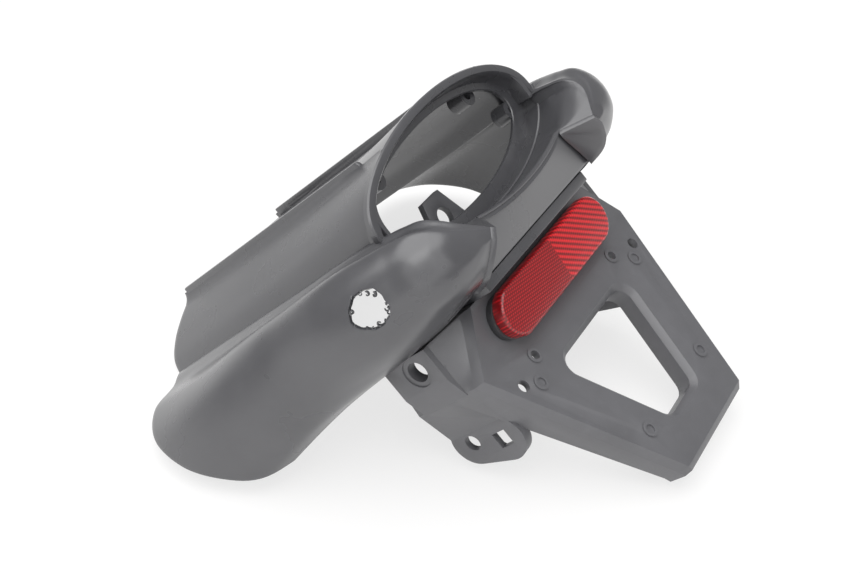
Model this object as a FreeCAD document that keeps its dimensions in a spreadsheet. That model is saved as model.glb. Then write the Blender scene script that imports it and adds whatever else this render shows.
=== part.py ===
"""Rear fairing of a scooter: tail cover, number plate holder and reflector, in millimetres.

X points to the right, Y forward and Z up, as on the scooter with its tail deck level.
The origin lies midway between the two frame ears of the plate holder.
"""
import FreeCAD, Part
import math
import os

import Sketcher
from FreeCAD import Placement, Rotation, Vector

# Driving dimensions: name and millimetres or degrees, kept in the document's sheet.
SIZES = {
    # walls of the two mouldings
    "cover_wall": 2.2,
    "holder_wall": 3.0,
    # lamp opening, an upright oval at the rear end of the deck
    "ring_y": -24.0,
    "ring_z": 52.0,
    "ring_half_width": 67.0,
    "ring_half_height": 25.5,
    "bezel_depth": 5.0,
    "bezel_half_width": 56.0,
    "bezel_half_height": 19.0,
    # deck between the two raised lips, and its sloping side panels
    "deck_z": 69.5,
    "deck_half_width": 37.0,
    "panel_mid_x": 54.0,
    "panel_mid_z": 58.5,
    "deck_front_y": 120.0,
    "panel_front_y": 131.0,
    "lip_height": 6.5,
    "lip_thickness": 2.4,
    "lip_rear_y": -13.0,
    "lip_round": 5.0,
    # side pods: how far out they reach at each station, and where they start and end
    "pod_rake_y": 64.5,
    "pod_rake_angle": 45.0,
    "crest_hook": 2.6,
    # trough below the lamp and the strip that closes it at the rear
    "trough_rear_y": -42.5,
    "trough_rear_half_width": 37.0,
    "trough_rise": 1.8,
    "strip_low_y": -32.9,
    "strip_low_z": 12.0,
    "strip_low_half_width": 54.0,
    "sole_front_y": -6.0,
    "sole_half_width": 46.0,
    # lamp bosses behind the bezel
    "boss_radius": 4.5,
    "boss_length": 9.0,
    "boss_bore": 1.8,
    "boss_upper_x": 38.0,
    "boss_upper_z": 66.5,
    "boss_side_x": 56.0,
    "boss_side_z": 49.0,
    # hand-cut hole in the left side pod
    "hole_y": -21.0,
    "hole_z": 34.5,
    "hole_radius": 9.5,
    # plate holder: crease between the shoulder and the number plate face
    "crease_y": -20.0,
    "crease_z": -17.0,
    "crease_half_width": 67.0,
    "shoulder_height": 24.0,
    "shoulder_lean": 3.0,
    "shoulder_half_width": 50.0,
    "plate_drop": 81.0,
    "plate_run": 22.0,
    "plate_half_width": 30.0,
    "edge_chamfer": 4.0,
    "roof_wall": 2.4,
    "rim_depth": 12.0,
    "rim_depth_top": 19.0,
    # cheeks with the frame ears and the indicator lugs
    "cheek_x": 69.5,
    "cheek_front_y": 18.0,
    "ear_x": 72.5,
    "ear_rear_y": -11.0,
    "ear_front_y": 15.0,
    "ear_low_z": -8.0,
    "ear_bevel_z": -18.0,
    "ear_bore": 4.5,
    "ear_recess": 6.5,
    "lug_x": 60.0,
    "lug_depth": 5.0,
    "lug_radius": 10.3,
    "lug_bore_y": 14.0,
    "lug_bore_z": -40.0,
    "lug_bore": 3.5,
    "lug_square": 7.0,
    "lug_square_y": -1.0,
    "lug_square_z": -43.7,
    # front wall and its middle tab
    "front_wall_y": 3.0,
    "front_wall_top_z": 27.0,
    "front_wall_half_width": 46.0,
    "tab_top_z": 44.5,
    "tab_half_width": 6.5,
    "tab_foot_half_width": 13.0,
    "tab_bore": 4.5,
    "tab_bore_z": 34.0,
    # window in the number plate face and the small plate bosses
    "window_top_drop": 19.0,
    "window_low_drop": 68.0,
    "window_top_half_width": 32.0,
    "window_low_half_width": 12.0,
    "window_round": 6.0,
    "window_chamfer": 2.5,
    "ring_boss_radius": 3.4,
    "ring_boss_bore": 2.0,
    "ring_boss_height": 0.8,
    "upper_boss_x": 47.7,
    "upper_boss_drop": 17.5,
    "lower_boss_x": 28.5,
    "lower_boss_drop": 63.0,
    "plate_hole_x": 55.0,
    "plate_hole_drop": 13.0,
    "plate_hole": 2.6,
    "inner_boss_x": 38.5,
    "inner_boss_drop": 9.0,
    # reflector
    "reflector_half_length": 46.5,
    "reflector_half_height": 10.3,
    "reflector_z": -6.1,
    "lens_thickness": 5.5,
    "lens_bevel": 1.0,
    "base_thickness": 3.0,
    "base_inset": 1.0,
    "stud_radius": 2.5,
    "stud_length": 12.0,
    "washer_radius": 6.0,
    "washer_thickness": 1.2,
    "nut_width": 8.0,
    "nut_thickness": 4.0,
    # screws that hold the cover's sole to the holder
    "screw_x": 30.0,
    "screw_y": -13.0,
    "screw_radius": 2.2,
    "screw_head_radius": 4.5,
    "screw_head": 2.6,
    "screw_length": 8.0,
    "hole_clearance": 0.3,
    "stud_clearance": 0.7,
}

# Stations of the side pods: Y, crest X and Z, reach, lower edge X and Z, depth of the groove beside the crest.
POD_STATIONS = {
    "tip": (-54.0, 50.0, 31.0, 55.0, 47.5, 24.5, 0.0),
    "tail": (-46.0, 60.0, 44.5, 75.5, 55.3, 16.8, 1.0),
    "rear": (-33.0, 61.3, 47.3, 85.0, 54.4, 11.8, 2.0),
    "ring": (-20.0, 64.0, 48.0, 92.0, 60.5, 11.0, 2.5),
    "middle": (30.0, 66.0, 48.8, 105.0, 82.0, 5.6, 2.5),
    "front": (80.0, 68.0, 49.8, 116.0, 103.0, -1.2, 0.0),
    "end": (125.0, 69.5, 50.5, 116.0, 112.0, -8.0, 0.0),
}
STATION_FIELDS = ("y", "crest_x", "crest_z", "reach", "low_x", "low_z", "groove")

# Cutting tools reach this far past the outside of the part.
PAST = 60.0
# Two solids that are joined sink into each other by at least this much.
BURY = 0.6
# Points closer than this count as one place.
TINY = 0.01

doc = FreeCAD.newDocument("rear_fairing")


def fill_sheet():
    """Write every driving dimension into an aliased cell of the sheet."""
    sizes = dict(SIZES)
    for station, values in POD_STATIONS.items():
        for field, number in zip(STATION_FIELDS, values):
            sizes[f"pod_{station}_{field}"] = number
    page = doc.addObject("Spreadsheet::Sheet", "Sizes")
    for row, (name, number) in enumerate(sizes.items(), start=1):
        page.set(f"A{row}", name)
        page.set(f"B{row}", str(number))
        page.setAlias(f"B{row}", name)
    doc.recompute()
    return page


sheet = fill_sheet()


def size(name):
    """The sheet's present number for a name."""
    return float(sheet.get(name))


def feature(name, shape):
    """Put a shape that is worked out from the sheet into the document."""
    item = doc.addObject("Part::Feature", name)
    item.Label = name
    item.Shape = shape
    item.Placement = Placement()
    return item


def fuse(name, items):
    """Join solids into one moulding."""
    joined = doc.addObject("Part::MultiFuse", name)
    joined.Label = name
    joined.Shapes = items
    joined.Refine = True
    return joined


def cut(name, base, tool):
    """Take a tool away from a base."""
    result = doc.addObject("Part::Cut", name)
    result.Label = name
    result.Base = base
    result.Tool = tool
    return result


def mirrored(name, source):
    """The left-hand twin of a right-hand solid."""
    twin = doc.addObject("Part::Mirroring", name)
    twin.Label = name
    twin.Source = source
    twin.Base = Vector(0, 0, 0)
    twin.Normal = Vector(1, 0, 0)
    return twin


def cylinder(name, radius, length, along, x, y, z):
    """A bound cylinder: radius and length are expressions, and so is each place."""
    post = doc.addObject("Part::Cylinder", name)
    post.Label = name
    post.Placement = Placement(Vector(), Rotation(Vector(0, 0, 1), along))
    post.setExpression("Radius", radius)
    post.setExpression("Height", length)
    for axis, place in zip("xyz", (x, y, z)):
        post.setExpression(f"Placement.Base.{axis}", place)
    return post


def spline(points):
    """An interpolated curve through the points."""
    curve = Part.BSplineCurve()
    curve.interpolate(points)
    return curve


def inward(points, wall):
    """Move each point of an open upright outline off its curve by the wall, to the right of travel."""
    curve = spline(points)
    axis = Vector(0, 1, 0)
    moved = []
    for point in points:
        tangent = curve.tangent(curve.parameter(point))[0]
        side = tangent.cross(axis)
        moved.append(point + side.normalize() * wall)
    return moved


def thin_section(points, wall):
    """Closed section of a thin wall: the outer curve, its offset and the two ends."""
    inner = inward(points, wall)
    outer_edge = spline(points).toShape()
    inner_edge = spline(inner[::-1]).toShape()
    far_end = Part.makeLine(points[-1], inner[-1])
    near_end = Part.makeLine(inner[0], points[0])
    return Part.Wire([outer_edge, far_end, inner_edge, near_end])


def prism(points, direction):
    """A straight prism over a closed polygon."""
    return Part.Face(Part.makePolygon(points + points[:1])).extrude(direction)


# Tail cover


def pod_outline(station):
    """Outer curve of a side pod at a station, from the hooked crest round to the lower edge."""
    y, crest_x, crest_z, reach, low_x, low_z, groove = (
        size(f"pod_{station}_{field}") for field in STATION_FIELDS
    )
    width = reach - crest_x
    height = crest_z - low_z
    hook = min(size("crest_hook"), 0.25 * height)
    under = reach - low_x
    outline = [
        (crest_x - hook, crest_z - hook),
        (crest_x, crest_z),
        (crest_x + 0.25 * width, crest_z - 0.03 * height - groove),
        (crest_x + 0.55 * width, crest_z - 0.05 * height),
        (reach - 0.12 * width, crest_z - 0.22 * height),
        (reach, crest_z - 0.46 * height),
        (reach - 0.15 * under, low_z + 0.24 * height),
        (reach - 0.50 * under, low_z + 0.07 * height),
        (low_x, low_z),
    ]
    return [Vector(x, y, z) for x, z in outline]


def pod_section(station):
    """Closed section of a side pod, whose wall grows thin towards the pointed tip."""
    height = size(f"pod_{station}_crest_z") - size(f"pod_{station}_low_z")
    return thin_section(pod_outline(station), min(size("cover_wall"), 0.2 * height))


def tip_plug():
    """Solid end of a side pod, which closes its hollow at the tip."""
    tip = pod_outline("tip")
    tail = pod_outline("tail")
    wall = size("cover_wall")
    share = 2 * wall / (tail[0].y - tip[0].y)
    behind = [a + (b - a) * share for a, b in zip(tip, tail)]
    wires = []
    for outline in (tip, behind):
        inner = inward(outline, 0.2 * wall)
        wires.append(Part.Wire([spline(inner).toShape(), Part.makeLine(inner[-1], inner[0])]))
    return Part.makeLoft(wires, True, True)


def side_pod():
    """Right side pod: a thin shell lofted along Y and cut off at the front by a raked plane."""
    tip, *sections = [pod_section(station) for station in POD_STATIONS]
    nose = Part.makeLoft([tip, sections[0]], True, True)
    shell = Part.makeLoft(sections, True, False).fuse([nose, tip_plug()])
    span = 2 * (size("pod_end_reach") + PAST)
    block = Part.makeBox(span, span, span, Vector(-span / 2, 0, -span / 2))
    block.Placement = Placement(
        Vector(0, size("pod_rake_y"), 0), Rotation(Vector(1, 0, 0), -size("pod_rake_angle"))
    ).multiply(block.Placement)
    return shell.cut(block)


def crest_at(y):
    """Crest of the side pods between two stations, as X and Z."""
    places = [[size(f"pod_{name}_{field}") for field in STATION_FIELDS[:3]] for name in POD_STATIONS]
    for (y0, x0, z0), (y1, x1, z1) in zip(places, places[1:]):
        if y <= y1 or y1 == places[-1][0]:
            share = (y - y0) / (y1 - y0)
            return x0 + share * (x1 - x0), z0 + share * (z1 - z0)


def both_sides(half, y):
    """A whole section from its right half, which runs from the middle out."""
    right = [Vector(x, y, z) for x, z in half]
    left = [Vector(-x, y, z) for x, z in half[:0:-1]]
    return left + right


def oval(x):
    """Height of the lamp oval over its centre at X."""
    share = min(abs(x) / size("ring_half_width"), 1.0)
    return size("ring_half_height") * math.sqrt(1.0 - share * share)


def flat_half(y):
    """Right half of the level deck and its side panel at Y, from the middle out to the crest."""
    crest_x, crest_z = crest_at(y)
    bury = size("cover_wall") / 2
    deck_z = size("deck_z")
    half = size("deck_half_width")
    panel_x = size("panel_mid_x")
    panel_z = size("panel_mid_z")
    return [
        (0.0, deck_z),
        (0.6 * half, deck_z),
        (half, deck_z),
        (panel_x, panel_z),
        ((panel_x + crest_x) / 2, (panel_z + crest_z) / 2 - bury),
        (crest_x, crest_z - bury),
    ]


def deck_section(y, rise):
    """Deck and side panels at Y: rise is 1 at the lamp oval and 0 along the flat deck."""
    flat = flat_half(y)
    half = size("deck_half_width")
    ring_z = size("ring_z")
    wide = size("ring_half_width")
    arch = [
        (0.0, ring_z + oval(0.0)),
        (0.6 * half, ring_z + oval(0.6 * half)),
        (1.1 * half, ring_z + oval(1.1 * half)),
        (0.87 * wide, ring_z + oval(0.87 * wide)),
        (0.99 * wide, ring_z + oval(0.99 * wide)),
        flat[-1],
    ]
    mixed = [
        (a + rise * (c - a), b + rise * (d - b)) for (a, b), (c, d) in zip(flat, arch)
    ]
    return thin_section(both_sides(mixed, y), size("cover_wall"))


def deck():
    """Deck with its panels, from the lamp oval to the curved front edge."""
    ring_y = size("ring_y")
    front = size("deck_front_y")
    bulge = size("panel_front_y")
    length = bulge - ring_y
    fade = [(0.0, 1.0), (0.1, 0.66), (0.22, 0.36), (0.45, 0.1), (1.1, 0.0)]
    shell = Part.makeLoft([deck_section(ring_y + share * length, rise) for share, rise in fade], True, False)
    half = size("deck_half_width")
    panel_x = size("panel_mid_x")
    outer_x = size("pod_end_crest_x")
    reach = outer_x + PAST
    edge_points = [
        Vector(half, front, 0),
        Vector(panel_x, bulge, 0),
        Vector(outer_x, front + 0.2 * (bulge - front), 0),
    ]
    right_edge = spline(edge_points).toShape()
    left_edge = spline([Vector(-p.x, p.y, 0) for p in edge_points[::-1]]).toShape()
    far = bulge + PAST
    outline = Part.Wire(
        [
            left_edge,
            Part.makeLine(Vector(-half, front, 0), Vector(half, front, 0)),
            right_edge,
            Part.makeLine(edge_points[-1], Vector(reach, far, 0)),
            Part.makeLine(Vector(reach, far, 0), Vector(-reach, far, 0)),
            Part.makeLine(Vector(-reach, far, 0), Vector(-outer_x, edge_points[-1].y, 0)),
        ]
    )
    beyond = Part.Face(outline).extrude(Vector(0, 0, size("deck_z") + PAST))
    return shell.cut(beyond)


def lip():
    """Right raised lip of the deck, with a rounded rear end."""
    half = size("deck_half_width")
    thick = size("lip_thickness")
    top = size("deck_z") + size("lip_height")
    foot_front = size("deck_z") - size("cover_wall") / 2
    rear = size("lip_rear_y")
    foot_rear = size("ring_z") + oval(half) - size("cover_wall")
    radius = size("lip_round")
    front = size("deck_front_y")
    x = half - thick / 2
    corner = Vector(x, rear + radius, top - radius)
    bow = Part.Arc(
        Vector(x, rear, top - radius),
        corner + Vector(0, -radius, radius) * math.sqrt(0.5),
        Vector(x, rear + radius, top),
    ).toShape()
    side = Part.Wire(
        [
            Part.makeLine(Vector(x, front, foot_front), Vector(x, rear, min(foot_rear, top - radius - 1.0))),
            Part.makeLine(Vector(x, rear, min(foot_rear, top - radius - 1.0)), Vector(x, rear, top - radius)),
            bow,
            Part.makeLine(Vector(x, rear + radius, top), Vector(x, front, top)),
            Part.makeLine(Vector(x, front, top), Vector(x, front, foot_front)),
        ]
    )
    return Part.Face(side).extrude(Vector(thick, 0, 0))


def trough_height(x, y):
    """Height of the dished shelf at X and Y, off the crests: it follows the lower half of the lamp oval."""
    back = (size("ring_y") - y) / (size("ring_y") - size("trough_rear_y"))
    return size("ring_z") - oval(x) + back * size("trough_rise")


def trough():
    """Dished shelf under the lamp, which scoops up to the crests and runs back to the strip and the pod tips."""
    wall = size("cover_wall")
    ring_y = size("ring_y")
    rear_y = size("trough_rear_y")
    tip_y = size("pod_tip_y")
    narrow = size("trough_rear_half_width")
    wires = []
    for y in (ring_y, (ring_y + rear_y) / 2, rear_y, tip_y):
        crest_x, crest_z = crest_at(y)
        end = (crest_x - 0.4 * wall, crest_z - 0.9 * wall)
        places = [0.0, 0.55 * narrow, narrow, narrow + 0.5 * (end[0] - narrow)]
        lower = min(0.0, end[1] - trough_height(end[0], y))
        half = [(x, trough_height(x, y) + lower * (x / end[0]) ** 2) for x in places] + [end]
        wires.append(thin_section(both_sides(half, y), wall))
    shell = Part.makeLoft(wires, True, True)
    far_x = 2 * size("pod_tip_low_x") - narrow
    far_y = 2 * tip_y - rear_y
    waste = prism(
        [
            Vector(-narrow, rear_y, 0),
            Vector(narrow, rear_y, 0),
            Vector(far_x, far_y, 0),
            Vector(-far_x, far_y, 0),
        ],
        Vector(0, 0, size("ring_z")),
    )
    return shell.cut(waste)


def tail_facet():
    """Flat wall that closes the right pod's tail, from the strip's end to the pod's free lower edge."""
    wall = size("cover_wall")
    narrow = size("trough_rear_half_width")
    rear_y = size("trough_rear_y")
    inner = Vector(narrow, rear_y, trough_height(narrow, rear_y) - wall / 2)
    low = {
        station: Vector(*(size(f"pod_{station}_{field}") for field in ("low_x", "y", "low_z")))
        for station in ("tip", "tail", "rear")
    }
    normal = (low["tip"] - inner).cross(low["rear"] - inner).normalize()
    tail = low["tail"] - normal * (low["tail"] - inner).dot(normal)
    return prism([inner, low["tip"], tail, low["rear"]], normal * wall)


def sole_z():
    """Underside of the cover's sole, which rests on the holder's top wall."""
    return size("crease_z") + size("shoulder_height")


def strip():
    """Sloping strip that closes the trough at the rear, with its level sole below."""
    wall = size("cover_wall")
    top_y = size("trough_rear_y") + wall / 2
    narrow = size("trough_rear_half_width")
    low_y = size("strip_low_y")
    low_z = size("strip_low_z")
    wide = size("strip_low_half_width") + wall / 2
    top_z = trough_height(0.0, size("trough_rear_y")) - wall / 2
    end_z = trough_height(narrow, size("trough_rear_y")) - wall / 2
    upper = spline([Vector(-narrow, top_y, end_z), Vector(0, top_y, top_z), Vector(narrow, top_y, end_z)])
    lower = Part.makeLine(Vector(-wide, low_y, low_z), Vector(wide, low_y, low_z))
    skin = Part.makeRuledSurface(upper.toShape(), lower)
    slope = Vector(0, low_y - top_y, low_z - top_z)
    forward = Vector(0, -slope.z, slope.y).normalize()
    sheet_solid = skin.extrude(forward * wall)
    sole_x = size("sole_half_width")
    sole = Part.makeBox(
        2 * sole_x,
        size("sole_front_y") - low_y - wall / 2,
        low_z - sole_z() + wall / 2,
        Vector(-sole_x, low_y + wall / 2, sole_z()),
    )
    return sheet_solid.fuse(sole)


def ellipse_wire(y, half_width, half_height):
    """Upright oval round the lamp's centre at Y."""
    curve = Part.Ellipse(Vector(0, 0, 0), half_width, half_height)
    edge = curve.toShape()
    edge.Placement = Placement(Vector(0, y, size("ring_z")), Rotation(Vector(1, 0, 0), 90))
    return Part.Wire([edge])


def bezel():
    """Oval frame of the lamp: a rounded lip and a band that falls inwards."""
    wall = size("cover_wall")
    ring_y = size("ring_y")
    depth = size("bezel_depth")
    wide = size("ring_half_width")
    tall = size("ring_half_height")
    inner_wide = size("bezel_half_width")
    inner_tall = size("bezel_half_height")
    front = ring_y + depth
    rim = ring_y - wall / 2
    outer = Part.makeLoft(
        [ellipse_wire(rim, wide + BURY, tall + BURY), ellipse_wire(front, wide - wall / 2, tall - wall / 2)], True, True
    )
    opening = Part.makeLoft(
        [
            ellipse_wire(rim - TINY, wide - wall, tall - wall),
            ellipse_wire(front - wall, inner_wide, inner_tall),
        ],
        True,
        True,
    )
    hole = Part.Face(ellipse_wire(ring_y, inner_wide, inner_tall)).extrude(Vector(0, 4 * depth, 0))
    return outer.cut(opening).cut(hole)


def ragged_hole():
    """Tool for the hand-cut hole in the left pod: an uneven outline run through the skin."""
    radius = size("hole_radius")
    lobes = (1.0, 0.93, 1.04, 0.95, 1.03, 0.9, 1.02, 0.96)
    reach = size("pod_ring_reach")
    ring = []
    for number, lobe in enumerate(lobes):
        turn = 2 * math.pi * number / len(lobes)
        ring.append(
            Vector(
                -reach - PAST,
                size("hole_y") + radius * lobe * math.cos(turn),
                size("hole_z") + radius * lobe * math.sin(turn),
            )
        )
    curve = Part.BSplineCurve()
    curve.interpolate(ring, PeriodicFlag=True)
    return Part.Face(Part.Wire([curve.toShape()])).extrude(Vector(reach + PAST - size("pod_ring_crest_x"), 0, 0))


def lamp_bosses():
    """Four bored posts in front of the bezel that carry the lamp."""
    posts = []
    wall = size("cover_wall")
    for name, x, z in (("upper", "boss_upper_x", "boss_upper_z"), ("side", "boss_side_x", "boss_side_z")):
        for side, sign in (("right", 1), ("left", -1)):
            start = Vector(sign * size(x), size("ring_y") + size("bezel_depth") - wall, size(z))
            post = Part.makeCylinder(size("boss_radius"), size("boss_length"), start, Vector(0, 1, 0))
            bore = Part.makeCylinder(size("boss_bore"), size("boss_length") + 2 * wall, start, Vector(0, 1, 0))
            bore.translate(Vector(0, -wall, 0))
            posts.append((feature(f"boss_{name}_{side}", post), feature(f"bore_{name}_{side}", bore)))
    return posts


def tail_cover():
    """The tail cover: deck, lips, side pods, trough, strip and bezel as one moulding."""
    pod_right = feature("pod_right", side_pod())
    pod_left = mirrored("pod_left", pod_right)
    torn = cut("pod_left_torn", pod_left, feature("ragged_hole", ragged_hole()))
    lip_right = feature("lip_right", lip())
    lip_left = mirrored("lip_left", lip_right)
    facet_right = feature("facet_right", tail_facet())
    posts = lamp_bosses()
    body = fuse(
        "cover_body",
        [
            feature("deck", deck()),
            feature("trough", trough()),
            feature("strip", strip()),
            feature("bezel", bezel()),
            pod_right,
            torn,
            lip_right,
            lip_left,
            facet_right,
            mirrored("facet_left", facet_right),
        ]
        + [post for post, bore in posts],
    )
    bores = [bore for post, bore in posts]
    for side in (1, -1):
        name = "right" if side > 0 else "left"
        pilot = Part.makeCylinder(
            size("screw_radius"), size("screw_length"), Vector(side * size("screw_x"), size("screw_y"), sole_z() - BURY)
        )
        bores.append(feature(f"pilot_{name}", pilot))
    drilled = cut("tail_cover", body, fuse("cover_bores", bores))
    return drilled


# Plate holder

SHEET = "<<Sizes>>."
WALL = SHEET + "holder_wall"
CHAMFER = SHEET + "edge_chamfer"
CREASE_Y = SHEET + "crease_y"
CREASE_Z = SHEET + "crease_z"
TOP_Y = f"({CREASE_Y} - {SHEET}shoulder_lean)"
TOP_Z = f"({CREASE_Z} + {SHEET}shoulder_height)"
FOOT_Y = f"({CREASE_Y} - {SHEET}plate_run)"
FOOT_Z = f"({CREASE_Z} - {SHEET}plate_drop)"
CHEEK = SHEET + "cheek_x"
EAR_REAR = SHEET + "ear_rear_y"
EAR_FRONT = SHEET + "ear_front_y"
PLATE_TILT = f"-atan({SHEET}plate_run / {SHEET}plate_drop)"
LEAN = f"({SHEET}shoulder_lean / {SHEET}shoulder_height)"
WASHER_FRONT = f"({WALL} * cos(atan({LEAN})) + {SHEET}washer_thickness)"
SQUARE = ((1, 1), (-1, 1), (-1, -1), (1, -1))


def plane_of(body, role):
    """One of the body's own origin planes, such as XY_Plane."""
    return next(item for item in body.Origin.OriginFeatures if item.Role == role)


def new_sketch(body, name, role, offset="0"):
    """An empty sketch on an origin plane of the body, moved along its normal by an expression."""
    drawing = body.newObject("Sketcher::SketchObject", name)
    drawing.AttachmentSupport = [(plane_of(body, role), "")]
    drawing.MapMode = "FlatFace"
    drawing.setExpression("AttachmentOffset.Base.z", offset)
    return drawing


def plate_sketch(body, name):
    """A sketch on the number plate face, with its origin in the middle of the crease."""
    drawing = new_sketch(body, name, "XZ_Plane", f"-{CREASE_Y}")
    drawing.AttachmentOffset = Placement(Vector(), Rotation(Vector(1, 0, 0), -10))
    drawing.setExpression("AttachmentOffset.Base.y", CREASE_Z)
    drawing.setExpression("AttachmentOffset.Rotation.Angle", PLATE_TILT)
    doc.recompute()
    return drawing


def number_of(drawing, text):
    """Present value of an expression."""
    return float(drawing.evalExpression(text))


def hold(drawing, kind, place, text):
    """Hold a coordinate of a point, or a radius, to an expression."""
    number = number_of(drawing, text)
    from_origin = (-1, 1) + place
    target = place if kind == "Radius" else from_origin
    index = drawing.addConstraint(Sketcher.Constraint(kind, *target, number))
    drawing.setExpression(f"Constraints[{index}]", text)


def polygon(drawing, corners):
    """A closed outline through corners that are given as pairs of expressions."""
    places = [Vector(number_of(drawing, x), number_of(drawing, y), 0) for x, y in corners]
    first = drawing.GeometryCount
    count = len(places)
    for number in range(count):
        drawing.addGeometry(Part.LineSegment(places[number], places[(number + 1) % count]), False)
    for number, (x, y) in enumerate(corners):
        follow = first + (number + 1) % count
        drawing.addConstraint(Sketcher.Constraint("Coincident", first + number, 2, follow, 1))
        hold(drawing, "DistanceX", (first + number, 1), x)
        hold(drawing, "DistanceY", (first + number, 1), y)


def circle(drawing, x, y, radius):
    """A circle whose centre and radius are expressions."""
    centre = Vector(number_of(drawing, x), number_of(drawing, y), 0)
    ring = Part.Circle(centre, Vector(0, 0, 1), number_of(drawing, radius))
    number = drawing.addGeometry(ring, False)
    if centre.x:
        hold(drawing, "DistanceX", (number, 3), x)
    else:
        drawing.addConstraint(Sketcher.Constraint("PointOnObject", number, 3, -2))
    if centre.y:
        hold(drawing, "DistanceY", (number, 3), y)
    else:
        drawing.addConstraint(Sketcher.Constraint("PointOnObject", number, 3, -1))
    hold(drawing, "Radius", (number,), radius)


def add_step(body, kind, name, drawing, length, reverse=False, middle=False):
    """A pad or pocket of a sketch, with its length bound to an expression."""
    step = body.newObject(f"PartDesign::{kind}", name)
    step.Profile = drawing
    step.setExpression("Length", length)
    step.Reversed = reverse
    step.Midplane = middle
    doc.recompute()
    return step


def add_loft(body, name, lower, upper):
    """A ruled loft between two sketches."""
    step = body.newObject("PartDesign::AdditiveLoft", name)
    step.Profile = lower
    step.Sections = [upper]
    step.Ruled = True
    doc.recompute()
    return step


def mirror_steps(body, name, steps):
    """Repeat steps of the right-hand side on the left."""
    twin = body.newObject("PartDesign::Mirrored", name)
    twin.Originals = steps
    twin.MirrorPlane = (plane_of(body, "YZ_Plane"), [""])
    body.Tip = twin
    doc.recompute()
    return twin


def channel(body, name, height, outer, inner):
    """Level section of a thin channel, from the right half of its outer and inner outlines."""
    drawing = new_sketch(body, name, "XY_Plane", height)
    right = outer + inner[::-1]
    left = [(f"-({x})", y) for x, y in inner] + [(f"-({x})", y) for x, y in outer[::-1]]
    polygon(drawing, right + left)
    return drawing


def shoulder(body):
    """Shoulder with its chamfers and the two cheeks: a channel lofted from the crease up."""
    half = SHEET + "crease_half_width"
    top_half = SHEET + "shoulder_half_width"
    front = SHEET + "cheek_front_y"
    low = channel(
        body,
        "shoulder_low",
        CREASE_Z,
        [
            (half, CREASE_Y),
            (CHEEK, f"{CREASE_Y} + {CHAMFER}"),
            (CHEEK, EAR_REAR),
            (CHEEK, front),
        ],
        [
            (f"{half} - 0.5 * {WALL}", f"{CREASE_Y} + {WALL}"),
            (f"{CHEEK} - {WALL}", f"{CREASE_Y} + {CHAMFER} + 0.5 * {WALL}"),
            (f"{CHEEK} - {WALL}", EAR_REAR),
            (f"{CHEEK} - {WALL}", front),
        ],
    )
    high = channel(
        body,
        "shoulder_high",
        TOP_Z,
        [
            (top_half, TOP_Y),
            (f"{top_half} + 0.75 * {CHAMFER}", f"{TOP_Y} + {CHAMFER}"),
            (CHEEK, EAR_REAR),
            (CHEEK, EAR_FRONT),
        ],
        [
            (f"{top_half} - 0.4 * {WALL}", f"{TOP_Y} + {WALL}"),
            (f"{top_half} + 0.75 * {CHAMFER} - 0.5 * {WALL}", f"{TOP_Y} + {CHAMFER} + 0.8 * {WALL}"),
            (f"{CHEEK} - {WALL}", f"{EAR_REAR} + 0.7 * {WALL}"),
            (f"{CHEEK} - {WALL}", EAR_FRONT),
        ],
    )
    add_loft(body, "shoulder", low, high)


def plate_face(body):
    """Number plate face with its rim: a channel lofted from the foot up to the crease."""
    half = SHEET + "crease_half_width"
    foot = SHEET + "plate_half_width"
    rim = SHEET + "rim_depth"
    rim_top = SHEET + "rim_depth_top"
    grow = f"({CHEEK} - {half})"

    def section(name, height, half_width, y, depth):
        outer = [
            (half_width, y),
            (f"{half_width} + {grow}", f"{y} + {CHAMFER}"),
            (f"{half_width} + {grow}", f"{y} + {depth}"),
        ]
        inner = [
            (f"{half_width} - 0.5 * {WALL}", f"{y} + {WALL}"),
            (f"{half_width} + {grow} - {WALL}", f"{y} + {CHAMFER} + 0.5 * {WALL}"),
            (f"{half_width} + {grow} - {WALL}", f"{y} + {depth}"),
        ]
        return channel(body, name, height, outer, inner)

    low = section("plate_low", FOOT_Z, foot, FOOT_Y, rim)
    high = section("plate_high", CREASE_Z, half, CREASE_Y, rim_top)
    add_loft(body, "plate_face", low, high)

    def foot_outline(name, height, inset):
        drawing = new_sketch(body, name, "XY_Plane", height)
        right = [
            (f"{foot} - {inset}", f"{FOOT_Y} + {inset}"),
            (f"{foot} + {grow} - {inset}", f"{FOOT_Y} + {CHAMFER}"),
            (f"{foot} + {grow} - {inset}", f"{FOOT_Y} + {rim}"),
        ]
        polygon(drawing, right + [(f"-({x})", y) for x, y in right[::-1]])
        return drawing

    foot_high = foot_outline("foot_high", FOOT_Z, "0")
    foot_low = foot_outline("foot_low", f"{FOOT_Z} - {WALL}", f"0.5 * {WALL}")
    add_loft(body, "foot_wall", foot_low, foot_high)


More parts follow.
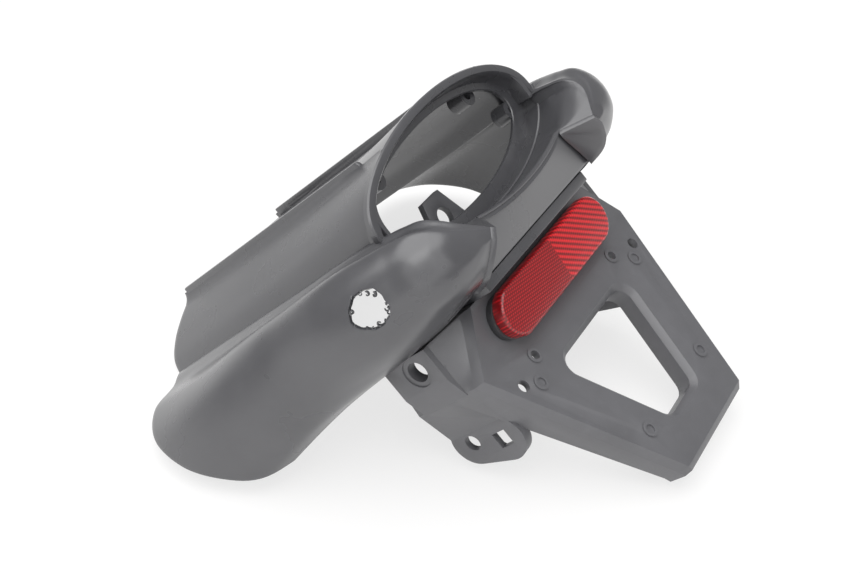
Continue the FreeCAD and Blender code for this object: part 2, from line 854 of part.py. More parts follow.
def upper_walls(body):
    """Level top wall, and the front wall with its bored tab."""
    top_half = SHEET + "shoulder_half_width"
    wall_y = SHEET + "front_wall_y"
    roof = new_sketch(body, "roof_outline", "XY_Plane", TOP_Z)
    right = [
        (top_half, TOP_Y),
        (f"{top_half} + 0.75 * {CHAMFER}", f"{TOP_Y} + {CHAMFER}"),
        (CHEEK, EAR_REAR),
        (CHEEK, f"{wall_y} + {WALL}"),
    ]
    polygon(roof, right + [(f"-({x})", y) for x, y in right[::-1]])
    add_step(body, "Pad", "roof", roof, SHEET + "roof_wall", reverse=True)
    front = new_sketch(body, "front_outline", "XZ_Plane", f"-{wall_y} - {WALL}")
    rise = SHEET + "front_wall_top_z"
    right = [
        (SHEET + "front_wall_half_width", f"{TOP_Z} - {WALL}"),
        (SHEET + "front_wall_half_width", rise),
        (SHEET + "tab_foot_half_width", rise),
        (SHEET + "tab_half_width", SHEET + "tab_top_z"),
    ]
    polygon(front, right + [(f"-({x})", y) for x, y in right[::-1]])
    add_step(body, "Pad", "front_wall", front, WALL)
    bore = new_sketch(body, "tab_bore_outline", "XZ_Plane", f"-{wall_y}")
    circle(bore, "0", SHEET + "tab_bore_z", SHEET + "tab_bore")
    add_step(body, "Pocket", "tab_bore", bore, f"2 * {WALL}")


def lug_steps(body):
    """Right indicator lug: a slanted neck below the cheek and a hollow boss with two ways through."""
    face = SHEET + "lug_x"
    depth = SHEET + "lug_depth"
    radius = SHEET + "lug_radius"
    bore_y = SHEET + "lug_bore_y"
    bore_z = SHEET + "lug_bore_z"
    square_y = SHEET + "lug_square_y"
    square_z = SHEET + "lug_square_z"
    back = f"{face} - {depth}"

    def level(name, height, outer, rear, front):
        drawing = new_sketch(body, name, "XY_Plane", height)
        inner = f"{outer} - {WALL}"
        polygon(drawing, [(outer, rear), (outer, front), (inner, front), (inner, rear)])
        return drawing

    neck_z = f"{bore_z} + 1.3 * {SHEET}lug_bore"
    low = level("neck_low", neck_z, face, f"{square_y} - 0.6 * {radius}", f"{bore_y} + 0.85 * {radius}")
    high = level("neck_high", CREASE_Z, CHEEK, f"{CREASE_Y} + {CHAMFER}", SHEET + "cheek_front_y")
    steps = [add_loft(body, "lug_neck", low, high)]
    apart = f"hypot({bore_y} - {square_y}; {bore_z} - {square_z})"
    side_y = f"{radius} * ({bore_z} - {square_z}) / {apart}"
    side_z = f"{radius} * ({square_y} - {bore_y}) / {apart}"
    band = new_sketch(body, "lug_band_outline", "YZ_Plane", back)
    polygon(
        band,
        [
            (f"{bore_y} + {side_y}", f"{bore_z} + {side_z}"),
            (f"{bore_y} - {side_y}", f"{bore_z} - {side_z}"),
            (f"{square_y} - {side_y}", f"{square_z} - {side_z}"),
            (f"{square_y} + {side_y}", f"{square_z} + {side_z}"),
        ],
    )
    steps.append(add_step(body, "Pad", "lug_band", band, depth))
    places = (("front", bore_y, bore_z), ("rear", square_y, square_z))
    for name, y, z in places:
        disc = new_sketch(body, f"lug_{name}_outline", "YZ_Plane", back)
        circle(disc, y, z, radius)
        steps.append(add_step(body, "Pad", f"lug_{name}", disc, depth))
    for name, y, z in places:
        hollow = new_sketch(body, f"lug_{name}_hollow_outline", "YZ_Plane", back)
        circle(hollow, y, z, f"{radius} - 1.3 * {WALL}")
        steps.append(add_step(body, "Pocket", f"lug_{name}_hollow", hollow, f"{depth} - {WALL}", reverse=True))
    half = f"0.5 * {SHEET}lug_square"
    square = new_sketch(body, "square_outline", "YZ_Plane", face)
    polygon(square, [(f"{square_y} + {a} * {half}", f"{square_z} + {b} * {half}") for a, b in SQUARE])
    steps.append(add_step(body, "Pocket", "lug_square", square, f"2 * {WALL}"))
    bore = new_sketch(body, "lug_bore_outline", "YZ_Plane", face)
    circle(bore, bore_y, bore_z, SHEET + "lug_bore")
    steps.append(add_step(body, "Pocket", "lug_bore", bore, f"2 * {WALL}"))
    return steps


def cheek_fittings(body):
    """Frame ears and indicator lugs: made on the right and mirrored."""
    ear_x = SHEET + "ear_x"
    ear = new_sketch(body, "ear_outline", "XZ_Plane", f"-{EAR_FRONT}")
    polygon(
        ear,
        [
            (f"{CHEEK} - {WALL}", TOP_Z),
            (ear_x, TOP_Z),
            (ear_x, SHEET + "ear_low_z"),
            (CHEEK, SHEET + "ear_bevel_z"),
            (f"{CHEEK} - {WALL}", SHEET + "ear_bevel_z"),
        ],
    )
    ear_pad = add_step(body, "Pad", "ear", ear, f"{EAR_FRONT} - {EAR_REAR}")
    steps = [ear_pad]
    for name, bore, depth in (
        ("ear_recess", SHEET + "ear_recess", f"0.25 * {WALL}"),
        ("ear_bore", SHEET + "ear_bore", f"{ear_x} - {CHEEK} + 2 * {WALL}"),
    ):
        hole = new_sketch(body, f"{name}_outline", "YZ_Plane", ear_x)
        circle(hole, "0", "0", bore)
        steps.append(add_step(body, "Pocket", name, hole, depth))
    steps += lug_steps(body)
    mirror_steps(body, "left_fittings", steps)


def window(body):
    """Window of the plate face: a walled frame, then the opening with rounded corners."""
    top = SHEET + "window_top_half_width"
    low = SHEET + "window_low_half_width"
    top_drop = SHEET + "window_top_drop"
    low_drop = SHEET + "window_low_drop"

    def outline(name, grow):
        drawing = plate_sketch(body, name)
        right = [(f"{top} + {grow}", f"-{top_drop} + {grow}"), (f"{low} + {grow}", f"-{low_drop} - {grow}")]
        polygon(drawing, right + [(f"-({x})", y) for x, y in right[::-1]])
        return drawing

    frame = outline("window_frame_outline", WALL)
    add_step(body, "Pad", "window_frame", frame, f"{SHEET}rim_depth - 0.5 * {WALL}", reverse=True)
    opening = outline("window_outline", "0")
    pocket = add_step(body, "Pocket", "window_opening", opening, f"{SHEET}rim_depth + {WALL}")
    normal = opening.Placement.Rotation.multVec(Vector(0, 0, 1))
    corners = [opening.Placement.multVec(point) for point in window_corners()]
    names = []
    for number, edge in enumerate(pocket.Shape.Edges, start=1):
        along = edge.Vertexes[-1].Point - edge.Vertexes[0].Point
        if along.Length < BURY or along.normalize().cross(normal).Length > TINY:
            continue
        if any(near_line(edge.Vertexes[0].Point, corner, normal) for corner in corners):
            names.append(f"Edge{number}")
    rounds = body.newObject("PartDesign::Fillet", "window_rounds")
    rounds.Base = (pocket, names)
    rounds.setExpression("Radius", SHEET + "window_round")
    doc.recompute()
    bevel = body.newObject("PartDesign::Chamfer", "window_bevel")
    bevel.Base = (rounds, rim_edges(rounds.Shape, opening.Placement.inverse()))
    bevel.setExpression("Size", SHEET + "window_chamfer")
    doc.recompute()


def rim_edges(shape, to_plate):
    """Names of the window's edges that lie in the plate face."""
    side = size("window_top_half_width") + TINY
    top = TINY - size("window_top_drop")
    low = -TINY - size("window_low_drop")
    names = []
    for number, edge in enumerate(shape.Edges, start=1):
        ends = [to_plate.multVec(vertex.Point) for vertex in edge.Vertexes]
        if all(abs(p.z) < TINY and abs(p.x) < side and low < p.y < top for p in ends):
            names.append(f"Edge{number}")
    return names


def window_corners():
    """Corners of the window in the plate face's own plane."""
    top = Vector(size("window_top_half_width"), -size("window_top_drop"), 0)
    low = Vector(size("window_low_half_width"), -size("window_low_drop"), 0)
    return [Vector(sign * p.x, p.y, 0) for sign in (1, -1) for p in (top, low)]


def near_line(point, start, direction):
    """Whether a point lies on a line."""
    return (point - start).cross(direction).Length < TINY


def plate_bosses(body):
    """Small raised rings, blind bores and through holes of the plate face."""
    rings = (
        ("upper", SHEET + "upper_boss_x", SHEET + "upper_boss_drop"),
        ("lower", SHEET + "lower_boss_x", SHEET + "lower_boss_drop"),
        ("inner", SHEET + "inner_boss_x", SHEET + "inner_boss_drop"),
    )
    outer = SHEET + "ring_boss_radius"
    bore = SHEET + "ring_boss_bore"
    raised = plate_sketch(body, "ring_outline")
    bored = plate_sketch(body, "ring_bores_outline")
    for name, x, drop in rings:
        for sign in ("", "-"):
            circle(raised, f"{sign}{x}", f"-{drop}", outer)
            circle(raised, f"{sign}{x}", f"-{drop}", bore)
            if name == "inner":
                circle(bored, f"{sign}{x}", f"-{drop}", bore)
    for sign in ("", "-"):
        circle(bored, f"{sign}{SHEET}plate_hole_x", f"-{SHEET}plate_hole_drop", SHEET + "plate_hole")
    add_step(body, "Pad", "ring_bosses", raised, SHEET + "ring_boss_height")
    add_step(body, "Pocket", "plate_holes", bored, f"2 * {WALL}")


def fixing_holes(body):
    """Clearance holes for the reflector's stud and for the two cover screws."""
    stud = new_sketch(body, "stud_hole_outline", "XZ_Plane", f"-{TOP_Y} + {WALL}")
    circle(stud, "0", SHEET + "reflector_z", f"{SHEET}stud_radius + {SHEET}stud_clearance")
    add_step(body, "Pocket", "stud_hole", stud, f"4 * {WALL}")
    screws = new_sketch(body, "screw_holes_outline", "XY_Plane", TOP_Z)
    for sign in ("", "-"):
        circle(
            screws,
            f"{sign}{SHEET}screw_x",
            SHEET + "screw_y",
            f"{SHEET}screw_radius + {SHEET}hole_clearance",
        )
    add_step(body, "Pocket", "screw_holes", screws, f"2 * {WALL}")


def plate_holder():
    """The plate holder as one faceted moulding."""
    body = doc.addObject("PartDesign::Body", "plate_holder")
    body.Label = "plate_holder"
    shoulder(body)
    plate_face(body)
    upper_walls(body)
    cheek_fittings(body)
    window(body)
    plate_bosses(body)
    fixing_holes(body)
    return body


# Reflector and fasteners


def seat_on_shoulder(item, stand_off):
    """Place a piece square to the shoulder, a stand-off behind it, at the reflector's height."""
    item.Placement = Placement(Vector(), Rotation(Vector(1, 0, 0), 5))
    item.setExpression("Placement.Rotation.Angle", f"atan({LEAN})")
    back_y = f"{CREASE_Y} - {LEAN} * ({SHEET}reflector_z - {CREASE_Z})"
    item.setExpression("Placement.Base.y", f"{back_y} - ({stand_off}) * cos(atan({LEAN}))")
    item.setExpression("Placement.Base.z", f"{SHEET}reflector_z - ({stand_off}) * sin(atan({LEAN}))")


def pill(body, name, half_length, half_height):
    """A sketch of a flat-sided outline with round ends, in the body's XZ plane."""
    drawing = new_sketch(body, name, "XZ_Plane")
    long = number_of(drawing, half_length)
    tall = number_of(drawing, half_height)
    straight = long - tall
    quarter = math.pi / 2
    drawing.addGeometry(Part.LineSegment(Vector(-straight, tall, 0), Vector(straight, tall, 0)), False)
    right_end = Part.Circle(Vector(straight, 0, 0), Vector(0, 0, 1), tall)
    drawing.addGeometry(Part.ArcOfCircle(right_end, -quarter, quarter), False)
    drawing.addGeometry(Part.LineSegment(Vector(straight, -tall, 0), Vector(-straight, -tall, 0)), False)
    left_end = Part.Circle(Vector(-straight, 0, 0), Vector(0, 0, 1), tall)
    drawing.addGeometry(Part.ArcOfCircle(left_end, quarter, 3 * quarter), False)
    for first, first_end, second, second_end in ((0, 2, 1, 2), (1, 1, 2, 1), (2, 2, 3, 2), (3, 1, 0, 1)):
        drawing.addConstraint(Sketcher.Constraint("Tangent", first, first_end, second, second_end))
    drawing.addConstraint(Sketcher.Constraint("PointOnObject", 1, 3, -1))
    drawing.addConstraint(Sketcher.Constraint("PointOnObject", 3, 3, -1))
    hold(drawing, "Radius", (1,), half_height)
    hold(drawing, "DistanceX", (1, 3), f"{half_length} - {half_height}")
    hold(drawing, "DistanceX", (3, 3), f"{half_height} - {half_length}")
    return drawing


def reflector_base():
    """Back shell of the reflector with its threaded stud."""
    body = doc.addObject("PartDesign::Body", "reflector_base")
    body.Label = "reflector_base"
    inset = SHEET + "base_inset"
    drawing = pill(
        body, "base_outline", f"{SHEET}reflector_half_length - {inset}", f"{SHEET}reflector_half_height - {inset}"
    )
    add_step(body, "Pad", "base_plate", drawing, SHEET + "base_thickness")
    stud = new_sketch(body, "stud_outline", "XZ_Plane")
    circle(stud, "0", "0", SHEET + "stud_radius")
    add_step(body, "Pad", "stud", stud, SHEET + "stud_length", reverse=True)
    seat_on_shoulder(body, "0")
    return body


def reflector_lens():
    """Red lens: a thick pill with a bevelled front edge."""
    body = doc.addObject("PartDesign::Body", "reflector_lens")
    body.Label = "reflector_lens"
    drawing = pill(body, "lens_outline", SHEET + "reflector_half_length", SHEET + "reflector_half_height")
    block = add_step(body, "Pad", "lens_block", drawing, SHEET + "lens_thickness")
    front = [
        f"Edge{number}"
        for number, edge in enumerate(block.Shape.Edges, start=1)
        if edge.BoundBox.YMax < TINY - size("lens_thickness")
    ]
    bevel = body.newObject("PartDesign::Chamfer", "lens_bevel")
    bevel.Base = (block, front)
    bevel.setExpression("Size", SHEET + "lens_bevel")
    seat_on_shoulder(body, SHEET + "base_thickness")
    return body


def reflector_washer():
    """Plain washer on the stud, in front of the shoulder wall."""
    body = doc.addObject("PartDesign::Body", "reflector_washer")
    body.Label = "reflector_washer"
    drawing = new_sketch(body, "washer_outline", "XZ_Plane")
    circle(drawing, "0", "0", SHEET + "washer_radius")
    circle(drawing, "0", "0", f"{SHEET}stud_radius + {SHEET}hole_clearance")
    add_step(body, "Pad", "washer", drawing, SHEET + "washer_thickness")
    seat_on_shoulder(body, f"-{WASHER_FRONT}")
    return body


def reflector_nut():
    """Six-sided nut on the stud, against the washer."""
    body = doc.addObject("PartDesign::Body", "reflector_nut")
    body.Label = "reflector_nut"
    drawing = new_sketch(body, "nut_outline", "XZ_Plane")
    corner = f"({SHEET}nut_width / sqrt(3))"
    polygon(drawing, [(f"{corner} * cos({turn} deg)", f"{corner} * sin({turn} deg)") for turn in range(30, 390, 60)])
    circle(drawing, "0", "0", SHEET + "stud_radius")
    add_step(body, "Pad", "nut", drawing, SHEET + "nut_thickness")
    seat_on_shoulder(body, f"-({WASHER_FRONT} + {SHEET}nut_thickness)")
    return body


def cover_screws():
    """Two pan-head screws that clamp the cover's sole to the holder's top wall."""
    screws = []
    for name, sign in (("right", ""), ("left", "-")):
        x = f"{sign}{SHEET}screw_x"
        y = SHEET + "screw_y"
        under = f"({TOP_Z} - {SHEET}roof_wall)"
        shank = cylinder(
            f"shank_{name}", SHEET + "screw_radius", SHEET + "screw_length", Vector(0, 0, 1), x, y, under
        )
        head = cylinder(
            f"head_{name}",
            SHEET + "screw_head_radius",
            SHEET + "screw_head",
            Vector(0, 0, 1),
            x,
            y,
            f"{under} - {SHEET}screw_head",
        )
        screws.append(fuse(f"screw_{name}", [shank, head]))
    group = doc.addObject("Part::Compound", "cover_screws")
    group.Label = "cover_screws"
    group.Links = screws
    return group


def main():
    """Build every piece, check the document and write one file per node."""
    nodes = [
        tail_cover(),
        plate_holder(),
        reflector_base(),
        reflector_lens(),
        reflector_washer(),
        reflector_nut(),
        cover_screws(),
    ]
    doc.recompute()
    for item in doc.Objects:
        if "Invalid" in item.State or "Error" in item.State:
            raise RuntimeError(f"{item.Label} did not build: {item.State}")
    for node in nodes:
        if node.Shape.isNull() or not node.Shape.isValid():
            raise RuntimeError(f"{node.Label} is not a sound solid")
    os.makedirs("parts", exist_ok=True)
    for node in nodes:
        node.Shape.exportStep(f"parts/{node.Label}.step")
        print(node.Label, len(node.Shape.Solids), round(node.Shape.Volume))


if __name__ == "__main__":
    main()
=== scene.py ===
"""Rear fairing of a scooter, dressed: satin black mouldings, a red reflector and a pale floor."""
import logging
import math
from dataclasses import dataclass, field
from enum import Enum
from typing import Callable, Iterable, Sequence

import bmesh
import bpy
import numpy as np
from bpy.types import ID, Curve, Material, Node, NodeSocket, NodeTree, Object
from mathutils import Matrix, Vector


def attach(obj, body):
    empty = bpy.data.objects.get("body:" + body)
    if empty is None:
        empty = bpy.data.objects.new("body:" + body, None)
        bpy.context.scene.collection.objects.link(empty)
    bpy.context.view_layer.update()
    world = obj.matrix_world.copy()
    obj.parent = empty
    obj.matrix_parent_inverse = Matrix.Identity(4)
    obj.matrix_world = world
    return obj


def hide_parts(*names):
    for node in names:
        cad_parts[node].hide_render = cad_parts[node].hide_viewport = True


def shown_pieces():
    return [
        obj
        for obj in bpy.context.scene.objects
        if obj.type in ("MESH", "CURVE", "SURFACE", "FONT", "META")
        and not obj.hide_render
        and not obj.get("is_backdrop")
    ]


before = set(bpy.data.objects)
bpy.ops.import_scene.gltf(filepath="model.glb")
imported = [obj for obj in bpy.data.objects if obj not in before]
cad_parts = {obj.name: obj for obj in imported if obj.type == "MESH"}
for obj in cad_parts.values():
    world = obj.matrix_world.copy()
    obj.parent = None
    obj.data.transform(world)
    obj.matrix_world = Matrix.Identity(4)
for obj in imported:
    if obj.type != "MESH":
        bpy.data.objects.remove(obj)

MM = 0.001
BODY = "root"
WELD = 0.001  # millimetres between points that count as one
LOG = logging.getLogger("rear_fairing")
Grid = np.ndarray
Pair = tuple[float, float]
Pairs = tuple[Pair, ...]
Triple = tuple[float, float, float]
RANGE = ("Value", "From Min", "From Max", "To Min", "To Max")  # inputs of a Map Range node


class Side(Enum):
    """The two sides of the scooter, as the sign of X."""

    RIGHT = 1
    LEFT = -1


# Shared helpers


def srgb(text: str) -> tuple[float, float, float, float]:
    """Linear colour of an sRGB hex value.

    Args:
        text: six hex digits with a leading hash.

    Returns:
        Red, green, blue and alpha.
    """
    parts = [int(text[i : i + 2], 16) / 255 for i in (1, 3, 5)]
    linear = [c / 12.92 if c <= 0.04045 else ((c + 0.055) / 1.055) ** 2.4 for c in parts]
    return (*linear, 1.0)


def add_node(tree: NodeTree, kind: str, inputs: dict | None = None, **settings: object) -> Node:
    """Add a node, set its properties, and fill or link its inputs.

    Args:
        tree: the tree that gets the node.
        kind: the node's type name.
        inputs: values, sockets, or nodes that give their first output, by input name or number.
        settings: properties of the node.

    Returns:
        The new node.
    """
    node = tree.nodes.new(kind)
    for name, value in settings.items():
        setattr(node, name, value)
    for name, value in (inputs or {}).items():
        if isinstance(value, Node):
            value = value.outputs[0]
        if isinstance(value, NodeSocket):
            tree.links.new(value, node.inputs[name])
        else:
            node.inputs[name].default_value = value
    return node


def smooth(points: Grid, knots: Sequence[float], at: Sequence[float]) -> Grid:
    """Points on a smooth curve that passes through given points.

    Args:
        points: the points to pass through, one row each.
        knots: rising parameter of each point.
        at: parameters to read the curve at.

    Returns:
        One row for each parameter.
    """
    p = np.asarray(points, float)
    t = np.asarray(knots, float)
    gap = np.diff(t)[:, None]
    slope = np.diff(p, axis=0) / gap
    tangent = np.empty_like(p)
    tangent[0] = slope[0]
    tangent[-1] = slope[-1]
    tangent[1:-1] = (slope[1:] * gap[:-1] + slope[:-1] * gap[1:]) / (gap[1:] + gap[:-1])
    where = np.clip(np.searchsorted(t, at, side="right") - 1, 0, len(t) - 2)
    step = gap[where]
    s = ((np.asarray(at, float) - t[where]) / step[:, 0])[:, None]
    return (
        (2 * s**3 - 3 * s**2 + 1) * p[where]
        + (s**3 - 2 * s**2 + s) * step * tangent[where]
        + (3 * s**2 - 2 * s**3) * p[where + 1]
        + (s**3 - s**2) * step * tangent[where + 1]
    )


def chords(points: Grid) -> Grid:
    """Share of the length run at each point of a polyline, from 0 to 1."""
    run = np.concatenate([[0.0], np.cumsum(np.linalg.norm(np.diff(points, axis=0), axis=1))])
    return run / run[-1]


def spread(points: Grid, count: int) -> Grid:
    """A smooth curve through points, read at evenly spaced places."""
    return smooth(points, chords(points), np.linspace(0, 1, count))


def linked(name: str, data: ID) -> Object:
    """A new object in the scene.

    Args:
        name: the object's name.
        data: its mesh, curve, lamp or camera.

    Returns:
        The object, at the origin.
    """
    item = bpy.data.objects.new(name, data)
    bpy.context.scene.collection.objects.link(item)
    return item


def mesh_of(name: str, vertices: Iterable, faces: Iterable) -> Object:
    """A linked mesh object from points in millimetres.

    Args:
        name: the object's name.
        vertices: points in the row frame.
        faces: corner numbers of each face.

    Returns:
        The object, at the origin.
    """
    mesh = bpy.data.meshes.new(name)
    mesh.from_pydata([tuple(float(c) * MM for c in v) for v in vertices], [], [tuple(f) for f in faces])
    mesh.validate()
    return linked(name, mesh)


def quads(rows: int, columns: int, flip: bool = False) -> list[tuple[int, ...]]:
    """Faces of a grid that is stored row by row.

    Args:
        rows: number of rows.
        columns: number of points in a row.
        flip: whether the faces point the other way.

    Returns:
        Corner numbers of each face.
    """
    faces = []
    for row in range(rows - 1):
        for k in range(row * columns, (row + 1) * columns - 1):
            face = (k, k + 1, k + columns + 1, k + columns)
            faces.append(face[::-1] if flip else face)
    return faces


def merged(item: Object, distance: float, outward: bool = False) -> Object:
    """Weld an object's doubles.

    Args:
        item: an object with plain mesh.
        distance: how far apart doubles may lie, in millimetres.
        outward: whether the faces are then turned outwards.

    Returns:
        The same object.
    """
    shape = bmesh.new()
    shape.from_mesh(item.data)
    bmesh.ops.remove_doubles(shape, verts=shape.verts, dist=distance * MM)
    if outward:
        bmesh.ops.recalc_face_normals(shape, faces=shape.faces)
    shape.to_mesh(item.data)
    shape.free()
    return item


def applied(item: Object) -> Object:
    """Turn an object's modifiers into plain mesh.

    Args:
        item: the object.

    Returns:
        The same object.
    """
    graph = bpy.context.evaluated_depsgraph_get()
    graph.update()
    plain = bpy.data.meshes.new_from_object(item.evaluated_get(graph))
    item.modifiers.clear()
    item.data = plain
    return item


def walled(item: Object, wall: float, edge: float) -> Object:
    """Give a skin its wall, on the inner side, and soften the rim.

    Args:
        item: a skin whose faces point outwards.
        wall: thickness in millimetres.
        edge: rounding of the rim in millimetres.

    Returns:
        The same object with plain mesh.
    """
    shell = item.modifiers.new("wall", "SOLIDIFY")
    shell.thickness = wall * MM
    shell.offset = -1.0
    shell.use_even_offset = True
    soften(item, edge)
    return applied(item)


def soften(item: Object, edge: float, angle: float = 40.0) -> None:
    """Round the sharp edges of an object with a live bevel.

    Args:
        item: the object.
        edge: width of the bevel in millimetres.
        angle: least angle of an edge that is rounded, in degrees.
    """
    bevel = item.modifiers.new("edges", "BEVEL")
    bevel.width = edge * MM
    bevel.segments = 2
    bevel.limit_method = "ANGLE"
    bevel.angle_limit = math.radians(angle)


def shade(item: Object, angle: float = 32.0) -> None:
    """Shade smoothly, with a break at sharp edges.

    Args:
        item: an object with plain mesh.
        angle: least angle of a sharp edge in degrees.
    """
    shape = bmesh.new()
    shape.from_mesh(item.data)
    for face in shape.faces:
        face.smooth = True
    for edge in shape.edges:
        edge.smooth = len(edge.link_faces) == 2 and edge.calc_face_angle(0.0) < math.radians(angle)
    shape.to_mesh(item.data)
    shape.free()


def joined(name: str, items: Sequence[Object]) -> Object:
    """Bring several plain meshes into one object.

    Args:
        name: the new object's name.
        items: objects at the origin, which are used up.

    Returns:
        The new object.
    """
    shape = bmesh.new()
    for item in items:
        shape.from_mesh(item.data)
        bpy.data.objects.remove(item)
    mesh = bpy.data.meshes.new(name)
    shape.to_mesh(mesh)
    shape.free()
    return linked(name, mesh)


def extruded(name: str, outline: Sequence[Pair], ends: Pair) -> Object:
    """A closed prism along X.

    Args:
        name: the object's name.
        outline: Y and Z of each corner.
        ends: X of its two end faces.

    Returns:
        The prism, with its faces outwards.
    """
    count = len(outline)
    points = [(end, y, z) for end in ends for y, z in outline]
    faces = [tuple(range(count)), tuple(range(2 * count - 1, count - 1, -1))]
    faces += [(k, (k + 1) % count, count + (k + 1) % count, count + k) for k in range(count)]
    return merged(mesh_of(name, points, faces), WELD, outward=True)


def polyline(name: str, line: Sequence) -> Curve:
    """Curve data with straight runs between points.

    Args:
        name: the curve's name.
        line: its points in millimetres.

    Returns:
        The curve data.
    """
    path = bpy.data.curves.new(name, "CURVE")
    path.dimensions = "3D"
    run = path.splines.new("POLY")
    run.points.add(len(line) - 1)
    for dot, place in zip(run.points, line):
        dot.co = (*(float(c) * MM for c in place), 1.0)
    return path


def ring_of(
    profile: Sequence[Pair],
    place: Callable[[float, float, float], Triple],
    steps: int,
    name: str,
) -> Object:
    """A closed ring: a closed profile carried round a full turn.

    Args:
        profile: pairs of numbers that the placing function understands.
        place: gives a point for a pair and a turn.
        steps: number of places round the turn.
        name: the object's name.

    Returns:
        The ring as a closed mesh.
    """
    points = [place(a, b, 2 * math.pi * k / steps) for k in range(steps) for a, b in profile]
    count = len(profile)
    faces = []
    for k in range(steps):
        near, far = k * count, ((k + 1) % steps) * count
        for i in range(count):
            after = (i + 1) % count
            faces.append((near + i, near + after, far + after, far + i))
    return merged(mesh_of(name, points, faces), WELD, outward=True)


def settle(item: Object, node: str, slot: str, finish: Material) -> None:
    """Give a finished piece its material and tie it to the frame.

    Args:
        item: the piece, with plain mesh.
        node: the CAD node that it stands for.
        slot: the record's material slot; not used.
        finish: its material.
    """
    item.data.materials.clear()
    item.data.materials.append(finish)
    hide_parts(node)
    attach(item, BODY)
    LOG.info("%s: %d faces", item.name, len(item.data.polygons))


# Finishes


def blank(name: str) -> tuple[Material, NodeTree]:
    """A new material with nothing in its node tree.

    Args:
        name: the material's name.

    Returns:
        The material and its tree.
    """
    finish = bpy.data.materials.new(name)
    finish.use_nodes = True
    finish.node_tree.nodes.clear()
    return finish, finish.node_tree


@dataclass(frozen=True)
class MouldedPlastic:
    """Black polypropylene moulding: satin, with a fine spark-eroded grain and pale rubbed marks."""

    name: str
    colour: str
    rubbed: str
    roughness: float
    grain_mm: float
    grain_depth: float
    rub_amount: float
    sheen: float = 0.0
    cloud_mm: float = 38.0
    streak_mm: float = 5.0
    haze: float = 0.35

    def material(self) -> Material:
        """Build the material on object coordinates.

        Returns:
            The material.
        """
        finish, tree = blank(self.name)
        place = add_node(tree, "ShaderNodeTexCoord").outputs["Object"]
        turned = add_node(
            tree,
            "ShaderNodeMapping",
            {"Vector": place, "Rotation": (0.3, 0.5, 0.9), "Scale": (1.0, 0.12, 1.0)},
        )
        grain, cloud, streaks = (
            add_node(
                tree,
                "ShaderNodeTexNoise",
                {"Vector": vector, "Scale": 1 / (size_mm * MM), "Detail": detail, "Roughness": rough},
            )
            for vector, size_mm, detail, rough in (
                (place, self.grain_mm, 2.0, 0.55),
                (place, self.cloud_mm, 4.0, 0.6),
                (turned, self.streak_mm, 5.0, 0.7),
            )
        )
        # Rubs are fine pale streaks; the haze is a faded bloom in broad patches
        rubs, haze, rough = (
            add_node(tree, "ShaderNodeMapRange", dict(zip(RANGE, limits)))
            for limits in (
                (streaks, 0.56, 0.86, 0.0, self.rub_amount),
                (cloud, 0.35, 0.75, 0.0, self.haze),
                (cloud, 0.3, 0.7, self.roughness - 0.04, self.roughness + 0.05),
            )
        )
        patchy = add_node(tree, "ShaderNodeMath", {0: rubs, 1: haze}, operation="ADD", use_clamp=True)
        colour = add_node(
            tree,
            "ShaderNodeMix",
            {0: patchy, 6: srgb(self.colour), 7: srgb(self.rubbed)},
            data_type="RGBA",
        )
        bump = add_node(
            tree, "ShaderNodeBump", {"Strength": self.grain_depth, "Distance": 0.12 * MM, "Height": grain}
        )
        shader = add_node(
            tree,
            "ShaderNodeBsdfPrincipled",
            {
                "Base Color": colour.outputs[2],
                "Roughness": rough,
                "Normal": bump,
                "IOR": 1.5,
                "Specular IOR Level": 0.8,
                "Coat Weight": self.sheen,
                "Coat Roughness": self.roughness,
                "Coat IOR": 1.6,
            },
        )
        add_node(tree, "ShaderNodeOutputMaterial", {"Surface": shader})
        return finish


